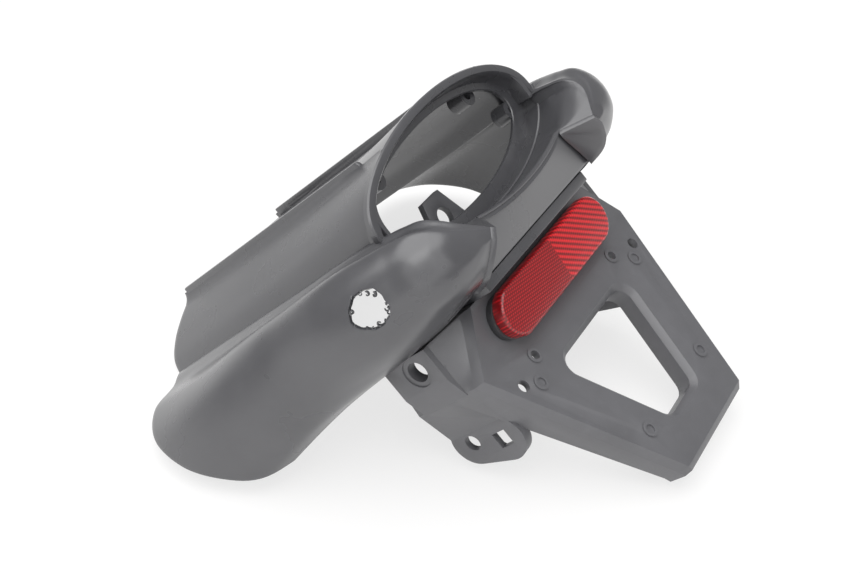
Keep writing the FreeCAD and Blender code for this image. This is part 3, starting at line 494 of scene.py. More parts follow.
@dataclass(frozen=True)
class RedPrismAcrylic:
    """Red moulded acrylic: a clear glossy front over rows of prisms, whose flashes of light are painted
    glints in the colour.
    """

    name: str = "red_prism_acrylic"
    painted_glint_red: str = "#d21d24"
    deep: str = "#4a060a"
    row_mm: float = 2.3
    cell_mm: float = 1.25
    split_x_mm: float = 2.0
    turns: Triple = (-34.0, 56.0, -10.0)

    def material(self) -> Material:
        """Build the material on object coordinates.

        Returns:
            The material.
        """
        finish, tree = blank(self.name)
        place = add_node(tree, "ShaderNodeTexCoord").outputs["Object"]
        bands = []
        for pitch_mm, turn in zip((self.row_mm, self.cell_mm, self.cell_mm), self.turns):
            about_y = (0.0, math.radians(turn), 0.0)
            mapped = add_node(tree, "ShaderNodeMapping", {"Vector": place, "Rotation": about_y})
            wave = add_node(
                tree,
                "ShaderNodeTexWave",
                {"Vector": mapped, "Scale": math.pi / 10 / (pitch_mm * MM)},
                bands_direction="Z",
            )
            bands.append(wave.outputs["Fac"])
        rows, cross, fine = bands
        apart = add_node(tree, "ShaderNodeSeparateXYZ", {"Vector": place})
        split = (apart.outputs["X"], (self.split_x_mm - 0.4) * MM, (self.split_x_mm + 0.4) * MM)
        right = add_node(tree, "ShaderNodeMapRange", dict(zip(RANGE, split)))
        # Painted glints: the prism rows' flashes are painted as a level from deep red to the glint red; left
        # of the split a dimmer mesh is painted
        strong = add_node(tree, "ShaderNodeMath", {0: rows, 1: 0.72}, operation="MULTIPLY")
        light = add_node(tree, "ShaderNodeMath", {0: cross, 1: 0.28, 2: strong}, operation="MULTIPLY_ADD")
        both = add_node(tree, "ShaderNodeMath", {0: cross, 1: fine}, operation="MULTIPLY")
        dull = add_node(tree, "ShaderNodeMath", {0: both, 1: 0.55, 2: 0.12}, operation="MULTIPLY_ADD")
        level = add_node(tree, "ShaderNodeMix", {0: right, 2: dull, 3: light}, data_type="FLOAT")
        # The ramp paints the level from the lens's deep red up to the painted glint red
        ramp = add_node(tree, "ShaderNodeValToRGB", {"Fac": level})
        ramp.color_ramp.elements[0].color = srgb(self.deep)
        ramp.color_ramp.elements[1].color = srgb(self.painted_glint_red)
        bump = add_node(tree, "ShaderNodeBump", {"Strength": 0.25, "Distance": 0.3 * MM, "Height": level})
        shader = add_node(
            tree,
            "ShaderNodeBsdfPrincipled",
            {
                "Base Color": ramp,
                "Roughness": 0.32,
                "IOR": 1.49,
                "Coat Weight": 0.5,
                "Coat Roughness": 0.06,
                "Normal": bump,
                # Painted glow: the lens emits a little of its patterned red, though it is no lamp
                "Emission Strength": 0.16,
                "Emission Color": ramp,
            },
        )
        add_node(tree, "ShaderNodeOutputMaterial", {"Surface": shader})
        return finish


@dataclass(frozen=True)
class ZincSteel:
    """Zinc-plated steel: pale grey and faintly mottled."""

    name: str = "zinc_plated_steel"
    colour: str = "#b9bcc0"
    dull: str = "#83878c"
    mottle_mm: float = 1.5

    def material(self) -> Material:
        """Build the material on object coordinates.

        Returns:
            The material.
        """
        finish, tree = blank(self.name)
        place = add_node(tree, "ShaderNodeTexCoord").outputs["Object"]
        scale = 1 / (self.mottle_mm * MM)
        mottle = add_node(tree, "ShaderNodeTexNoise", {"Vector": place, "Scale": scale, "Detail": 4.0})
        ramp = add_node(tree, "ShaderNodeValToRGB", {"Fac": mottle})
        ramp.color_ramp.elements[0].color = srgb(self.dull)
        ramp.color_ramp.elements[1].color = srgb(self.colour)
        limits = (mottle, 0.0, 1.0, 0.28, 0.5)
        rough = add_node(tree, "ShaderNodeMapRange", dict(zip(RANGE, limits)))
        shader = add_node(
            tree, "ShaderNodeBsdfPrincipled", {"Base Color": ramp, "Metallic": 1.0, "Roughness": rough}
        )
        add_node(tree, "ShaderNodeOutputMaterial", {"Surface": shader})
        return finish


# Tail cover


@dataclass(frozen=True)
class Station:
    """A section of a side pod, in millimetres, with the lobe's rise as a share of the height."""

    y: float
    crest_x: float
    crest_z: float
    reach: float
    low_x: float
    low_z: float
    groove: float
    lobe: float
    hook: float

    def outline(self) -> Grid:
        """Outer points from the rolled crest round to the lower edge.

        Returns:
            One row for each point.
        """
        x, z, low = self.crest_x, self.crest_z, self.low_z
        width, height, under = self.reach - x, z - low, self.reach - self.low_x
        pairs = [
            (x - self.hook, z - self.hook),
            (x, z),
            (x + 0.25 * width, z + 0.5 * self.lobe * height - self.groove),
            (x + 0.55 * width, z + self.lobe * height),
            (self.reach - 0.12 * width, z + (self.lobe - 0.17) * height),
            (self.reach, z - 0.46 * height),
            (self.reach - 0.15 * under, low + 0.24 * height),
            (self.reach - 0.50 * under, low + 0.07 * height),
            (self.low_x, low),
        ]
        return np.array([(across, self.y, up) for across, up in pairs])


STATIONS = (
    Station(-53.4, 50.2, 31.6, 57.0, 50.4, 25.4, 0.2, 0.0, 0.1),
    Station(-51.4, 56.4, 37.6, 67.5, 52.0, 22.6, 0.6, 0.0, 0.1),
    Station(-48.4, 59.2, 42.2, 74.5, 54.2, 19.2, 0.4, 0.01, 0.2),
    Station(-44.5, 60.2, 45.4, 79.5, 55.4, 16.0, 0.7, 0.01, 0.3),
    Station(-33.0, 61.6, 48.6, 87.0, 54.4, 11.8, 1.6, 0.01, 0.6),
    Station(-20.0, 63.6, 50.2, 94.0, 60.5, 8.6, 2.8, 0.01, 1.4),
    Station(30.0, 66.0, 50.6, 106.5, 88.0, 5.0, 1.8, 0.0, 2.0),
    Station(80.0, 68.0, 50.6, 119.6, 111.0, -4.5, 0.3, -0.05, 2.2),
    Station(125.0, 69.5, 50.5, 120.6, 117.0, -13.0, 0.0, -0.05, 2.2),
)


@dataclass
class TailCover:
    """The tail cover: side pods, deck, lips, lamp bezel, trough and rear strip as one moulding."""

    finish: Material
    pod_rows: int = 132
    pod_columns: int = 60
    wall: float = 2.2
    edge: float = 0.5
    ring_y: float = -24.0
    ring_z: float = 52.0
    ring_half: Pair = (66.5, 25.5)
    ring_top: float = 27.6
    ring_wrap: float = 3.0
    ring_lean: float = 2.6
    bezel_half: Pair = (56.0, 19.0)
    deck_z: float = 73.0
    deck_half: float = 37.0
    deck_front: float = 120.0
    panel: Pairs = ((37.0, 73.0), (40.0, 71.2), (47.0, 66.8), (54.0, 61.8), (60.5, 56.4))
    panel_front: Pairs = ((37.0, 121.0), (45.0, 125.2), (54.0, 128.4), (62.0, 128.0), (70.0, 121.5))
    panel_under: Pair = (1.4, 2.2)  # how far in from the crest and below it
    fillet: float = 2.2
    fillet_run: float = 14.0
    lip_height: float = 4.0
    lip_thickness: float = 2.4
    lip_rear: float = -13.0
    lip_round: float = 2.6
    slot: Pairs = ((90.0, 1.0), (98.0, 0.5), (110.0, 0.5), (110.0, 2.0), (98.0, 1.9))
    slot_past: float = 0.1
    rake_y: float = 64.5
    rim_corner: float = 9.0
    rim_corner_start: float = 0.84
    tip: Triple = (47.4, -53.9, 28.9)
    trough_rear: float = -42.5
    trough_half: float = 37.0
    trough_turn: float = 0.6  # share of the rear edge at its corner
    trough_rise: float = 1.8
    strip_low: Triple = (54.0, -32.9, 12.0)
    sole_z: float = 7.0
    sole_half: float = 46.0
    sole_front: float = -6.0
    sole_inset: Pair = (0.6, 0.4)
    bead_radii: Pair = (0.8, 0.6)
    bezel_rim: Pairs = (
        (0.1, 3.0), (0.0, 2.4), (-0.02, 0.0), (0.05, -0.8),
        (0.2, -1.1), (0.42, -0.8), (0.5, 0.0), (0.53, 1.5),
    )
    bezel_seat: Pairs = (
        (0.56, 6.0), (0.62, 6.8), (0.96, 7.2), (1.0, 7.6),
        (1.0, 9.0), (0.6, 8.6), (0.36, 7.0), (0.34, 3.2),
    )
    seat_depth: float = 8.5
    boss_radius: float = 4.5
    boss_bore: float = 1.8
    boss_length: float = 9.0
    bosses: Pairs = ((38.0, 66.5), (56.0, 49.0))
    hole_y: float = -22.6
    hole_z: float = 34.5
    hole_radius: float = 7.9
    hole_patch: float = 1.6  # reach of the patch round the hole, in radii
    hole_rings: int = 6
    hole_waves: tuple[tuple[float, int, float], ...] = ((0.03, 3, 1.1), (0.025, 5, 0.4), (0.02, 11, 0.0))
    shavings: int = 26
    curl_turn: float = 3.6
    curl_radius: float = 1.5
    curl_half: float = 0.55
    rim: list[Grid] = field(default_factory=list)
    skins: list[Object] = field(default_factory=list)

    def high(self, x: float) -> float:
        """Height of the lamp oval at X as a share of its height in the middle."""
        share = min(abs(x) / self.ring_half[0], 1.0)
        return math.sqrt(1.0 - share * share)

    def oval(self, x: float, upper: bool = False) -> float:
        """Half height of the lamp oval at X, below or above its middle."""
        return self.high(x) * (self.ring_top if upper else self.ring_half[1])

    def ring_at(self, x: float, upper: bool = False) -> float:
        """Y of the lamp oval at X: its ends sweep forward and its top leans to the rear."""
        high = self.high(x) if upper else -self.high(x)
        return self.ring_y + self.ring_wrap * (1.0 - high * high) - self.ring_lean * (1.0 + high)

    def crest(self, ys: Sequence[float]) -> Grid:
        """Points on the crest line at given Y."""
        line = np.array([(s.crest_x, s.y, s.crest_z) for s in STATIONS])
        return smooth(line, line[:, 1], np.asarray(ys, float))

    def pod_grid(self) -> Grid:
        """Outer skin of the right pod, from the tip to the raked front rim.

        Returns:
            Points as rows, columns and coordinates.
        """
        rows, columns = self.pod_rows, self.pod_columns
        stack = np.stack([spread(s.outline(), columns) for s in STATIONS])
        knots = np.array([s.y for s in STATIONS])
        dense = knots[0] + np.linspace(0, 1, 8 * rows) ** 1.5 * (knots[-1] - knots[0])
        wanted = np.linspace(0, 1, rows) ** 1.25
        grid = np.empty((rows, columns, 3))
        for column in range(columns):
            line = np.vstack([[self.tip], smooth(stack[:, column], knots, dense)])
            low = max(0.0, column / (columns - 1) - self.rim_corner_start) / (1 - self.rim_corner_start)
            ahead = line[:, 1] - line[:, 2] - self.rake_y + self.rim_corner * low**2
            stop = int(np.argmax(ahead > 0))
            share = ahead[stop - 1] / (ahead[stop - 1] - ahead[stop])
            rim = line[stop - 1] + share * (line[stop] - line[stop - 1])
            kept = np.vstack([line[:stop], rim])
            run = chords(kept)
            grid[:, column] = np.stack([np.interp(wanted, run, kept[:, k]) for k in range(3)], axis=1)
        return grid

    def build_pod(self, side: Side) -> None:
        """Make one side pod, with the hand-cut hole in the left one.

        Args:
            side: the side that it is on.
        """
        grid = self.pod_grid()
        grid[..., 0] *= side.value
        points = [tuple(p) for p in grid.reshape(-1, 3)]
        faces = quads(self.pod_rows, self.pod_columns, flip=side is Side.LEFT)
        if side is Side.LEFT:
            faces, points = self.cut_hole(grid, faces, points)
        skin = merged(mesh_of(f"pod_{side.name.lower()}", points, faces), 0.02)
        self.skins.append(walled(skin, self.wall, self.edge))

    def ragged(self, turn: float) -> float:
        """Radius of the hand-cut hole at a turn about its middle."""
        wobble = sum(size * math.sin(count * turn + lag) for size, count, lag in self.hole_waves)
        return self.hole_radius * (1.0 + wobble)

    def cut_hole(self, grid: Grid, faces: list, points: list) -> tuple[list, list]:
        """Replace a patch of the left pod's skin by rings of faces round the hole.

        Args:
            grid: the skin's points.
            faces: its faces.
            points: its points as a flat list.

        Returns:
            The new faces and points.
        """
        rows, columns = grid.shape[:2]
        away = (grid[..., 1] - self.hole_y) ** 2 + (grid[..., 2] - self.hole_z) ** 2
        away[np.abs(grid[..., 0]) < STATIONS[-1].crest_x + 8] = 1e9
        row, column = np.unravel_index(np.argmin(away), away.shape)
        along = (grid[row + 1, column] - grid[row - 1, column]) / 2
        across = (grid[row, column + 1] - grid[row, column - 1]) / 2
        reach_r = int(self.hole_patch * self.hole_radius / np.linalg.norm(along)) + 1
        reach_c = int(self.hole_patch * self.hole_radius / np.linalg.norm(across)) + 1
        border = [(row - reach_r, column - reach_c + k) for k in range(2 * reach_c)]
        border += [(row - reach_r + k, column + reach_c) for k in range(2 * reach_r)]
        border += [(row + reach_r, column + reach_c - k) for k in range(2 * reach_c)]
        border += [(row + reach_r - k, column - reach_c) for k in range(2 * reach_r)]
        inside = {
            r * columns + c
            for r in range(row - reach_r + 1, row + reach_r)
            for c in range(column - reach_c + 1, column + reach_c)
        }
        kept = [face for face in faces if not inside & set(face)]
        unit_a = along / np.linalg.norm(along)
        unit_b = across - unit_a * float(across @ unit_a)
        unit_b /= np.linalg.norm(unit_b)
        solve = np.linalg.inv(np.array([unit_a, unit_b]) @ np.array([along, across]).T)
        rings = self.hole_rings
        start = len(points)
        for ring in range(rings):
            for r, c in border:
                offset = grid[r, c] - grid[row, column]
                turn = math.atan2(float(offset @ unit_b), float(offset @ unit_a))
                radius = self.ragged(turn)
                d_row, d_column = solve @ np.array([radius * math.cos(turn), radius * math.sin(turn)])
                share = (ring / rings) ** 1.3
                at_row, at_column = row + d_row, column + d_column
                point = self.on_grid(grid, at_row + share * (r - at_row), at_column + share * (c - at_column))
                points.append(tuple(point))
                if ring == 0:
                    self.rim.append(point)
        count = len(border)
        for ring in range(rings):
            for k in range(count):
                after = (k + 1) % count
                inner = (start + ring * count + k, start + ring * count + after)
                if ring + 1 < rings:
                    outer = (start + (ring + 1) * count + after, start + (ring + 1) * count + k)
                else:
                    outer = tuple(border[n][0] * columns + border[n][1] for n in (after, k))
                kept.append((*inner, *outer))
        return kept, points

    @staticmethod
    def on_grid(grid: Grid, row: float, column: float) -> Grid:
        """Point of a grid between its rows and columns.

        Args:
            grid: the grid's points.
            row: row, with a fraction.
            column: column, with a fraction.

        Returns:
            The point.
        """
        r = int(min(max(row, 0), grid.shape[0] - 2))
        c = int(min(max(column, 0), grid.shape[1] - 2))
        a, b = row - r, column - c
        return (
            (1 - a) * (1 - b) * grid[r, c]
            + a * (1 - b) * grid[r + 1, c]
            + (1 - a) * b * grid[r, c + 1]
            + a * b * grid[r + 1, c + 1]
        )

    def rise(self, y: float) -> float:
        """How far the deck has swept up to the lamp oval at Y, from 0 to 1."""
        share = (y - self.ring_y) / (self.deck_front - self.ring_y)
        return max(0.0, 1.0 - share / 0.6) ** 2

    def build_deck(self) -> None:
        """Make the flat deck between the lips and the two curved side panels."""
        rows, columns = 90, 41
        points = []
        for share in np.linspace(0, 1, rows) ** 1.4:
            y = self.ring_y + share * (self.deck_front - self.ring_y)
            for x in np.linspace(-self.deck_half, self.deck_half, columns):
                top = self.ring_z + self.oval(x, upper=True)
                swept = y + (1 - share) * (self.ring_at(x, upper=True) - self.ring_y)
                points.append((x, swept, self.deck_z + self.rise(y) * (top - self.deck_z)))
        deck = mesh_of("deck", points, quads(rows, columns))
        self.skins.append(walled(deck, self.wall, self.edge))
        for side in Side:
            self.build_panel(side)

    def build_panel(self, side: Side) -> None:
        """Make one side panel, from the hollow fillet under its lip down to the pod's crest.

        Args:
            side: the side that it is on.
        """
        rows, columns, curl = 100, 36, 7
        flat = np.array(self.panel)
        fronts = np.array(self.panel_front)
        bend = np.linspace(math.acos(self.deck_half / self.ring_half[0]), 0.12, columns)
        wide, tall = self.ring_half[0], self.ring_top
        arch = np.stack([wide * np.cos(bend), self.ring_z + tall * np.sin(bend)], axis=1)
        points = []
        for share in np.linspace(0, 1, rows) ** 1.4:
            y_mid = self.ring_y + share * (self.deck_front - self.ring_y)
            crest = self.crest([y_mid + (1 - share) * self.ring_wrap])[0]
            low = np.array([[crest[0] - self.panel_under[0], crest[2] - self.panel_under[1]]])
            level = spread(np.vstack([flat, low]), columns)
            low_end = np.linspace(0, 1, columns)[:, None] ** 3 * (low - arch[-1])
            mixed = level + self.rise(y_mid) * (arch + low_end - level)
            risen = np.clip((y_mid - self.lip_rear) / self.fillet_run, 0.0, 1.0) * self.fillet
            foot = mixed[0] + np.array([self.lip_thickness / 2 - 0.1, 0.0])
            turn = np.linspace(0, 1, curl)[:, None]
            crown = foot + [0.0, risen]
            hollow = (1 - turn) ** 2 * crown + 2 * turn * (1 - turn) * foot + turn**2 * mixed[4]
            section = np.vstack([hollow, mixed[5:]])
            front = smooth(fronts, fronts[:, 0], np.clip(section[:, 0], fronts[0, 0], fronts[-1, 0]))[:, 1]
            rear = np.array([self.ring_at(x, upper=True) for x in section[:, 0]])
            points += [(side.value * x, a + share * (b - a), z) for (x, z), a, b in zip(section, rear, front)]
        count = curl + columns - 5
        panel = mesh_of(f"panel_{side.name.lower()}", points, quads(rows, count, flip=side is Side.LEFT))
        self.skins.append(walled(panel, self.wall, self.edge))

    def build_lip(self, side: Side) -> None:
        """Make one raised lip along the deck, with its rounded rear end.

        Args:
            side: the side that it is on.
        """
        top = self.deck_z + self.lip_height
        foot = self.deck_z - self.wall
        rear = self.lip_rear
        bow = [
            (rear + self.lip_round * (1 - math.sin(a)), top - self.lip_round * (1 - math.cos(a)))
            for a in np.linspace(math.pi / 2, 0, 8)
        ]
        side_view = [(rear, foot)] + bow + [(self.deck_front, top), (self.deck_front, foot)]
        half = self.lip_thickness / 2
        x = side.value * self.deck_half
        lip = extruded(f"lip_{side.name.lower()}", side_view, (x - half, x + half))
        cutter = self.slot_cutter(x, side)
        cut = lip.modifiers.new("slot", "BOOLEAN")
        cut.operation = "DIFFERENCE"
        cut.object = cutter
        soften(lip, 0.6)
        self.skins.append(applied(lip))
        bpy.data.objects.remove(cutter)

    def slot_cutter(self, x: float, side: Side) -> Object:
        """A wedge sunk into a lip's inner side, which leaves a blind slot near its front end."""
        ends = (x - side.value * 2 * self.lip_thickness, x + side.value * self.slot_past)
        return extruded("slot_cutter", [(y, self.deck_z + up) for y, up in self.slot], ends)

    def build_bezel(self) -> None:
        """Make the oval lamp frame: a round bead, a step and a band that falls inwards."""
        wide, tall = self.ring_half
        inner_wide, inner_tall = self.bezel_half
        y = self.ring_y
        profile = [(share, y + depth) for share, depth in self.bezel_rim + self.bezel_seat]

        def place(share: float, depth: float, turn: float) -> Triple:
            """Point of the bezel, whose rim fades out below.

            Args:
                share: how far in it lies, as a share of the band.
                depth: its Y before the oval leans and wraps.
                turn: its angle round the oval.

            Returns:
                The point.
            """
            fade = min(max(2.5 * math.sin(turn) + 0.8, 0.06), 1.0)
            extra = max(math.copysign(self.ring_top - tall, math.sin(turn)), 0.0)
            moved = share if share > 0.9 else share * fade
            half_x = wide + moved * (inner_wide - wide)
            half_z = tall + extra + moved * (inner_tall - tall - extra / 2)
            x = half_x * math.cos(turn)
            lean = self.ring_lean * (1.0 + math.sin(turn))
            back = self.ring_wrap * math.cos(turn) ** 2 - lean
            return (x, depth + back, self.ring_z + half_z * math.sin(turn))

        self.skins.append(ring_of(profile, place, 160, "bezel"))
        for side in Side:
            for x, z in self.bosses:
                self.build_boss(side.value * x, z)

    def build_boss(self, x: float, z: float) -> None:
        """Make one bored lamp post in front of the bezel.

        Args:
            x: X of its middle.
            z: Z of its middle.
        """
        start = self.ring_y + self.seat_depth
        end = start + self.boss_length
        outer, bore = self.boss_radius, self.boss_bore
        profile = [(bore, start), (outer, start), (outer, end - 0.5), (outer - 0.5, end)]
        profile += [(bore + 0.3, end), (bore, end - 0.3)]

        def place(radius: float, y: float, turn: float) -> Triple:
            """Point of the post at a radius, a depth and a turn."""
            return (x + radius * math.cos(turn), y, z + radius * math.sin(turn))

        self.skins.append(ring_of(profile, place, 28, "lamp_post"))

    def rear_edge(self, share: float) -> Grid:
        """Rear edge of the trough, from the middle to the right tip.

        Args:
            share: how far along it is, from 0 to 1.

        Returns:
            The point.
        """
        turn = self.trough_turn
        corner_z = self.ring_z - self.oval(self.trough_half) + self.trough_rise
        if share <= turn:
            x = self.trough_half * share / turn
            return np.array([x, self.trough_rear, self.ring_z - self.oval(x) + self.trough_rise])
        corner = np.array([self.trough_half, self.trough_rear, corner_z])
        return corner + (share - turn) / (1 - turn) * (np.array(self.tip) - corner)

    def strip_top(self, share: float) -> Grid:
        """Straight part of the trough's rear edge, from -1 at the left corner to 1 at the right."""
        return self.rear_edge(self.trough_turn * abs(share)) * np.array([math.copysign(1, share), 1, 1])

    def build_trough(self) -> None:
        """Make the dished shelf under the lamp, with its scoops up to the crests."""
        rows, half = 40, 50
        start = self.ring_y + self.ring_wrap
        front_end = self.crest([start])[0]
        depths = np.linspace(0, 1, rows)
        border = self.crest(start + depths * (STATIONS[0].y - start))
        border = np.vstack([border[:-1], self.tip])
        points = []
        for row, depth in enumerate(depths):
            line = []
            for share in np.linspace(0, 1, half + 1):
                x = share * front_end[0]
                front = np.array([x, self.ring_at(x) - 0.4, self.ring_z - self.oval(x)])
                if share == 1:
                    front = front_end
                plain = front + depth * (self.rear_edge(share) - front)
                end = front_end + depth * (np.array(self.tip) - front_end)
                line.append(plain + share**5 * (border[row] - end))
            right = [tuple(p) for p in line]
            points += [(-x, y, z) for x, y, z in right[:0:-1]] + right
        trough = mesh_of("trough", points, quads(rows, 2 * half + 1, flip=True))
        self.skins.append(walled(trough, self.wall, self.edge))

    def build_beads(self) -> None:
        """Make the thin raised rims along the front and rear edges of the trough."""
        sweep = np.linspace(-1, 1, 97)
        front = [
            (x, self.ring_at(x) - 0.6, self.ring_z - self.oval(x) + 0.2)
            for x in self.ring_half[0] * np.sin(sweep * math.pi / 2)
        ]
        rear = [self.strip_top(share) for share in sweep]
        for name, line, radius in zip(("front_bead", "rear_bead"), (front, rear), self.bead_radii):
            path = polyline(name, line)
            path.bevel_depth = radius * MM
            path.bevel_resolution = 2
            path.use_fill_caps = True
            bead = linked(name, path)
            bpy.context.view_layer.update()
            graph = bpy.context.evaluated_depsgraph_get()
            plain = bpy.data.meshes.new_from_object(bead.evaluated_get(graph))
            bpy.data.objects.remove(bead)
            rim = linked(name, plain)
            self.skins.append(merged(rim, WELD, outward=True))

    def build_strip(self) -> None:
        """Make the sloping rear strip, its end facets and the level sole below."""
        rows, half = 14, 24
        low_x, low_y, low_z = self.strip_low
        points = []
        for depth in np.linspace(0, 1, rows):
            for share in np.linspace(-1, 1, 2 * half + 1):
                top = self.strip_top(share)
                foot = np.array([share * low_x, low_y, low_z])
                points.append(tuple(top + depth * (foot - top)))
        strip = mesh_of("strip", points, quads(rows, 2 * half + 1, flip=True))
        self.skins.append(walled(strip, self.wall, 0.4))
        free = self.pod_grid()[:, -1]
        free = free[free[:, 1] <= low_y]
        corner = self.strip_top(1.0)
        for side in Side:
            rim = np.vstack([free, [low_x, low_y, low_z]])
            points = [corner + depth * (p - corner) for depth in np.linspace(0, 1, 10) for p in rim]
            points = [(side.value * x, y, z) for x, y, z in points]
            facet = mesh_of("facet", points, quads(10, len(rim), flip=side is Side.RIGHT))
            self.skins.append(walled(merged(facet, 0.01), self.wall, 0.3))
        rear, top = low_y + self.sole_inset[0], low_z - self.sole_inset[1]
        outline = [(rear, self.sole_z), (self.sole_front, self.sole_z), (self.sole_front, top), (rear, top)]
        sole = extruded("sole", outline, (-self.sole_half, self.sole_half))
        soften(sole, 0.5)
        self.skins.append(applied(sole))

    def build_shreds(self) -> Object:
        """Make the curled shavings round the hand-cut hole with a node tree.

        Returns:
            The shavings as plain mesh.
        """
        path = polyline("hole_rim", self.rim)
        path.splines[0].use_cyclic_u = True
        rim = linked("hole_rim", path)
        curl_points = []
        turns = np.linspace(0, self.curl_turn, 11)
        for a in turns:
            radius = self.curl_radius - 0.22 * a
            for across in (-self.curl_half, self.curl_half):
                out = 0.4 + radius * (1 - math.cos(a))
                curl_points.append((across * (1 - 0.2 * a), out, radius * math.sin(a)))
        curl = mesh_of("shaving", curl_points, quads(len(turns), 2))
        walled(curl, 0.35, 0.08)
        tree = bpy.data.node_groups.new("shavings", "GeometryNodeTree")
        settings = {}
        for name, kind, value in (
            ("Rim", "Object", rim),
            ("Shaving", "Object", curl),
            ("Count", "Int", self.shavings),
            ("Finish", "Material", self.finish),
        ):
            socket = tree.interface.new_socket(name, in_out="INPUT", socket_type=f"NodeSocket{kind}")
            settings[socket.identifier] = value
        tree.interface.new_socket("Geometry", in_out="OUTPUT", socket_type="NodeSocketGeometry")
        given = add_node(tree, "NodeGroupInput")
        edge = add_node(tree, "GeometryNodeObjectInfo", {"Object": given.outputs["Rim"]})
        dots = add_node(
            tree,
            "GeometryNodeCurveToPoints",
            {"Curve": edge.outputs["Geometry"], "Count": given.outputs["Count"]},
            mode="COUNT",
        )
        piece = add_node(tree, "GeometryNodeObjectInfo", {"Object": given.outputs["Shaving"]})
        chance = "FunctionNodeRandomValue"
        twist = add_node(
            tree,
            chance,
            {0: (-0.9, -0.7, -1.2), 1: (0.9, 0.7, 1.2), "Seed": 11},
            data_type="FLOAT_VECTOR",
        )
        turned = add_node(
            tree,
            "FunctionNodeRotateRotation",
            {"Rotation": dots.outputs["Rotation"], "Rotate By": twist},
            rotation_space="LOCAL",
        )
        grow = add_node(tree, chance, {2: 0.6, 3: 1.6, "Seed": 4}, data_type="FLOAT")
        keep = add_node(tree, chance, {"Probability": 0.55, "Seed": 6}, data_type="BOOLEAN")
        placed = add_node(
            tree,
            "GeometryNodeInstanceOnPoints",
            {
                "Points": dots,
                "Selection": keep.outputs[3],
                "Instance": piece.outputs["Geometry"],
                "Rotation": turned,
                "Scale": grow.outputs[1],
            },
        )
        real = add_node(tree, "GeometryNodeRealizeInstances", {"Geometry": placed})
        finish = given.outputs["Finish"]
        dressed = add_node(tree, "GeometryNodeSetMaterial", {"Geometry": real, "Material": finish})
        add_node(tree, "NodeGroupOutput", {"Geometry": dressed})
        holder = mesh_of("shavings", [], [])
        nodes = holder.modifiers.new("shavings", "NODES")
        nodes.node_group = tree
        for identifier, value in settings.items():
            nodes[identifier] = value
        applied(holder)
        bpy.data.objects.remove(rim)
        bpy.data.objects.remove(curl)
        return holder

    def build(self) -> Object:
        """Make every part of the moulding and bring them together.

        Returns:
            The cover as one piece.
        """
        for side in Side:
            self.build_pod(side)
            self.build_lip(side)
        self.build_deck()
        self.build_bezel()
        self.build_trough()
        self.build_beads()
        self.build_strip()
        self.skins.append(self.build_shreds())
        cover = joined("tail_cover_moulding", self.skins)
        shade(cover)
        return cover

    def dress(self) -> None:
        """Build the cover and give it its finish."""
        settle(self.build(), "tail_cover", "cover_plastic", self.finish)


@dataclass
class SoftenedNode:
    """A CAD node whose sharp edges are rounded as a mould leaves them."""

    node: str
    name: str
    slot: str
    finish: Material
    edge: float
    weld: float = 0.005
    flat_angle: float = 1.5
    bevel_angle: float = 25.0
    shade_angle: float = 30.0

    def dress(self) -> None:
        """Copy the node's mesh, weld it, round its edges and give it its finish."""
        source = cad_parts[self.node]
        mesh = source.data.copy()
        mesh.name = self.name
        piece = linked(self.name, mesh)
        shape = bmesh.new()
        shape.from_mesh(mesh)
        bmesh.ops.remove_doubles(shape, verts=shape.verts, dist=self.weld * MM)
        bmesh.ops.dissolve_limit(
            shape,
            angle_limit=math.radians(self.flat_angle),
            verts=shape.verts,
            edges=shape.edges,
            use_dissolve_boundaries=False,
        )
        shape.to_mesh(mesh)
        shape.free()
        soften(piece, self.edge, self.bevel_angle)
        applied(piece)
        shade(piece, self.shade_angle)
        settle(piece, self.node, self.slot, self.finish)


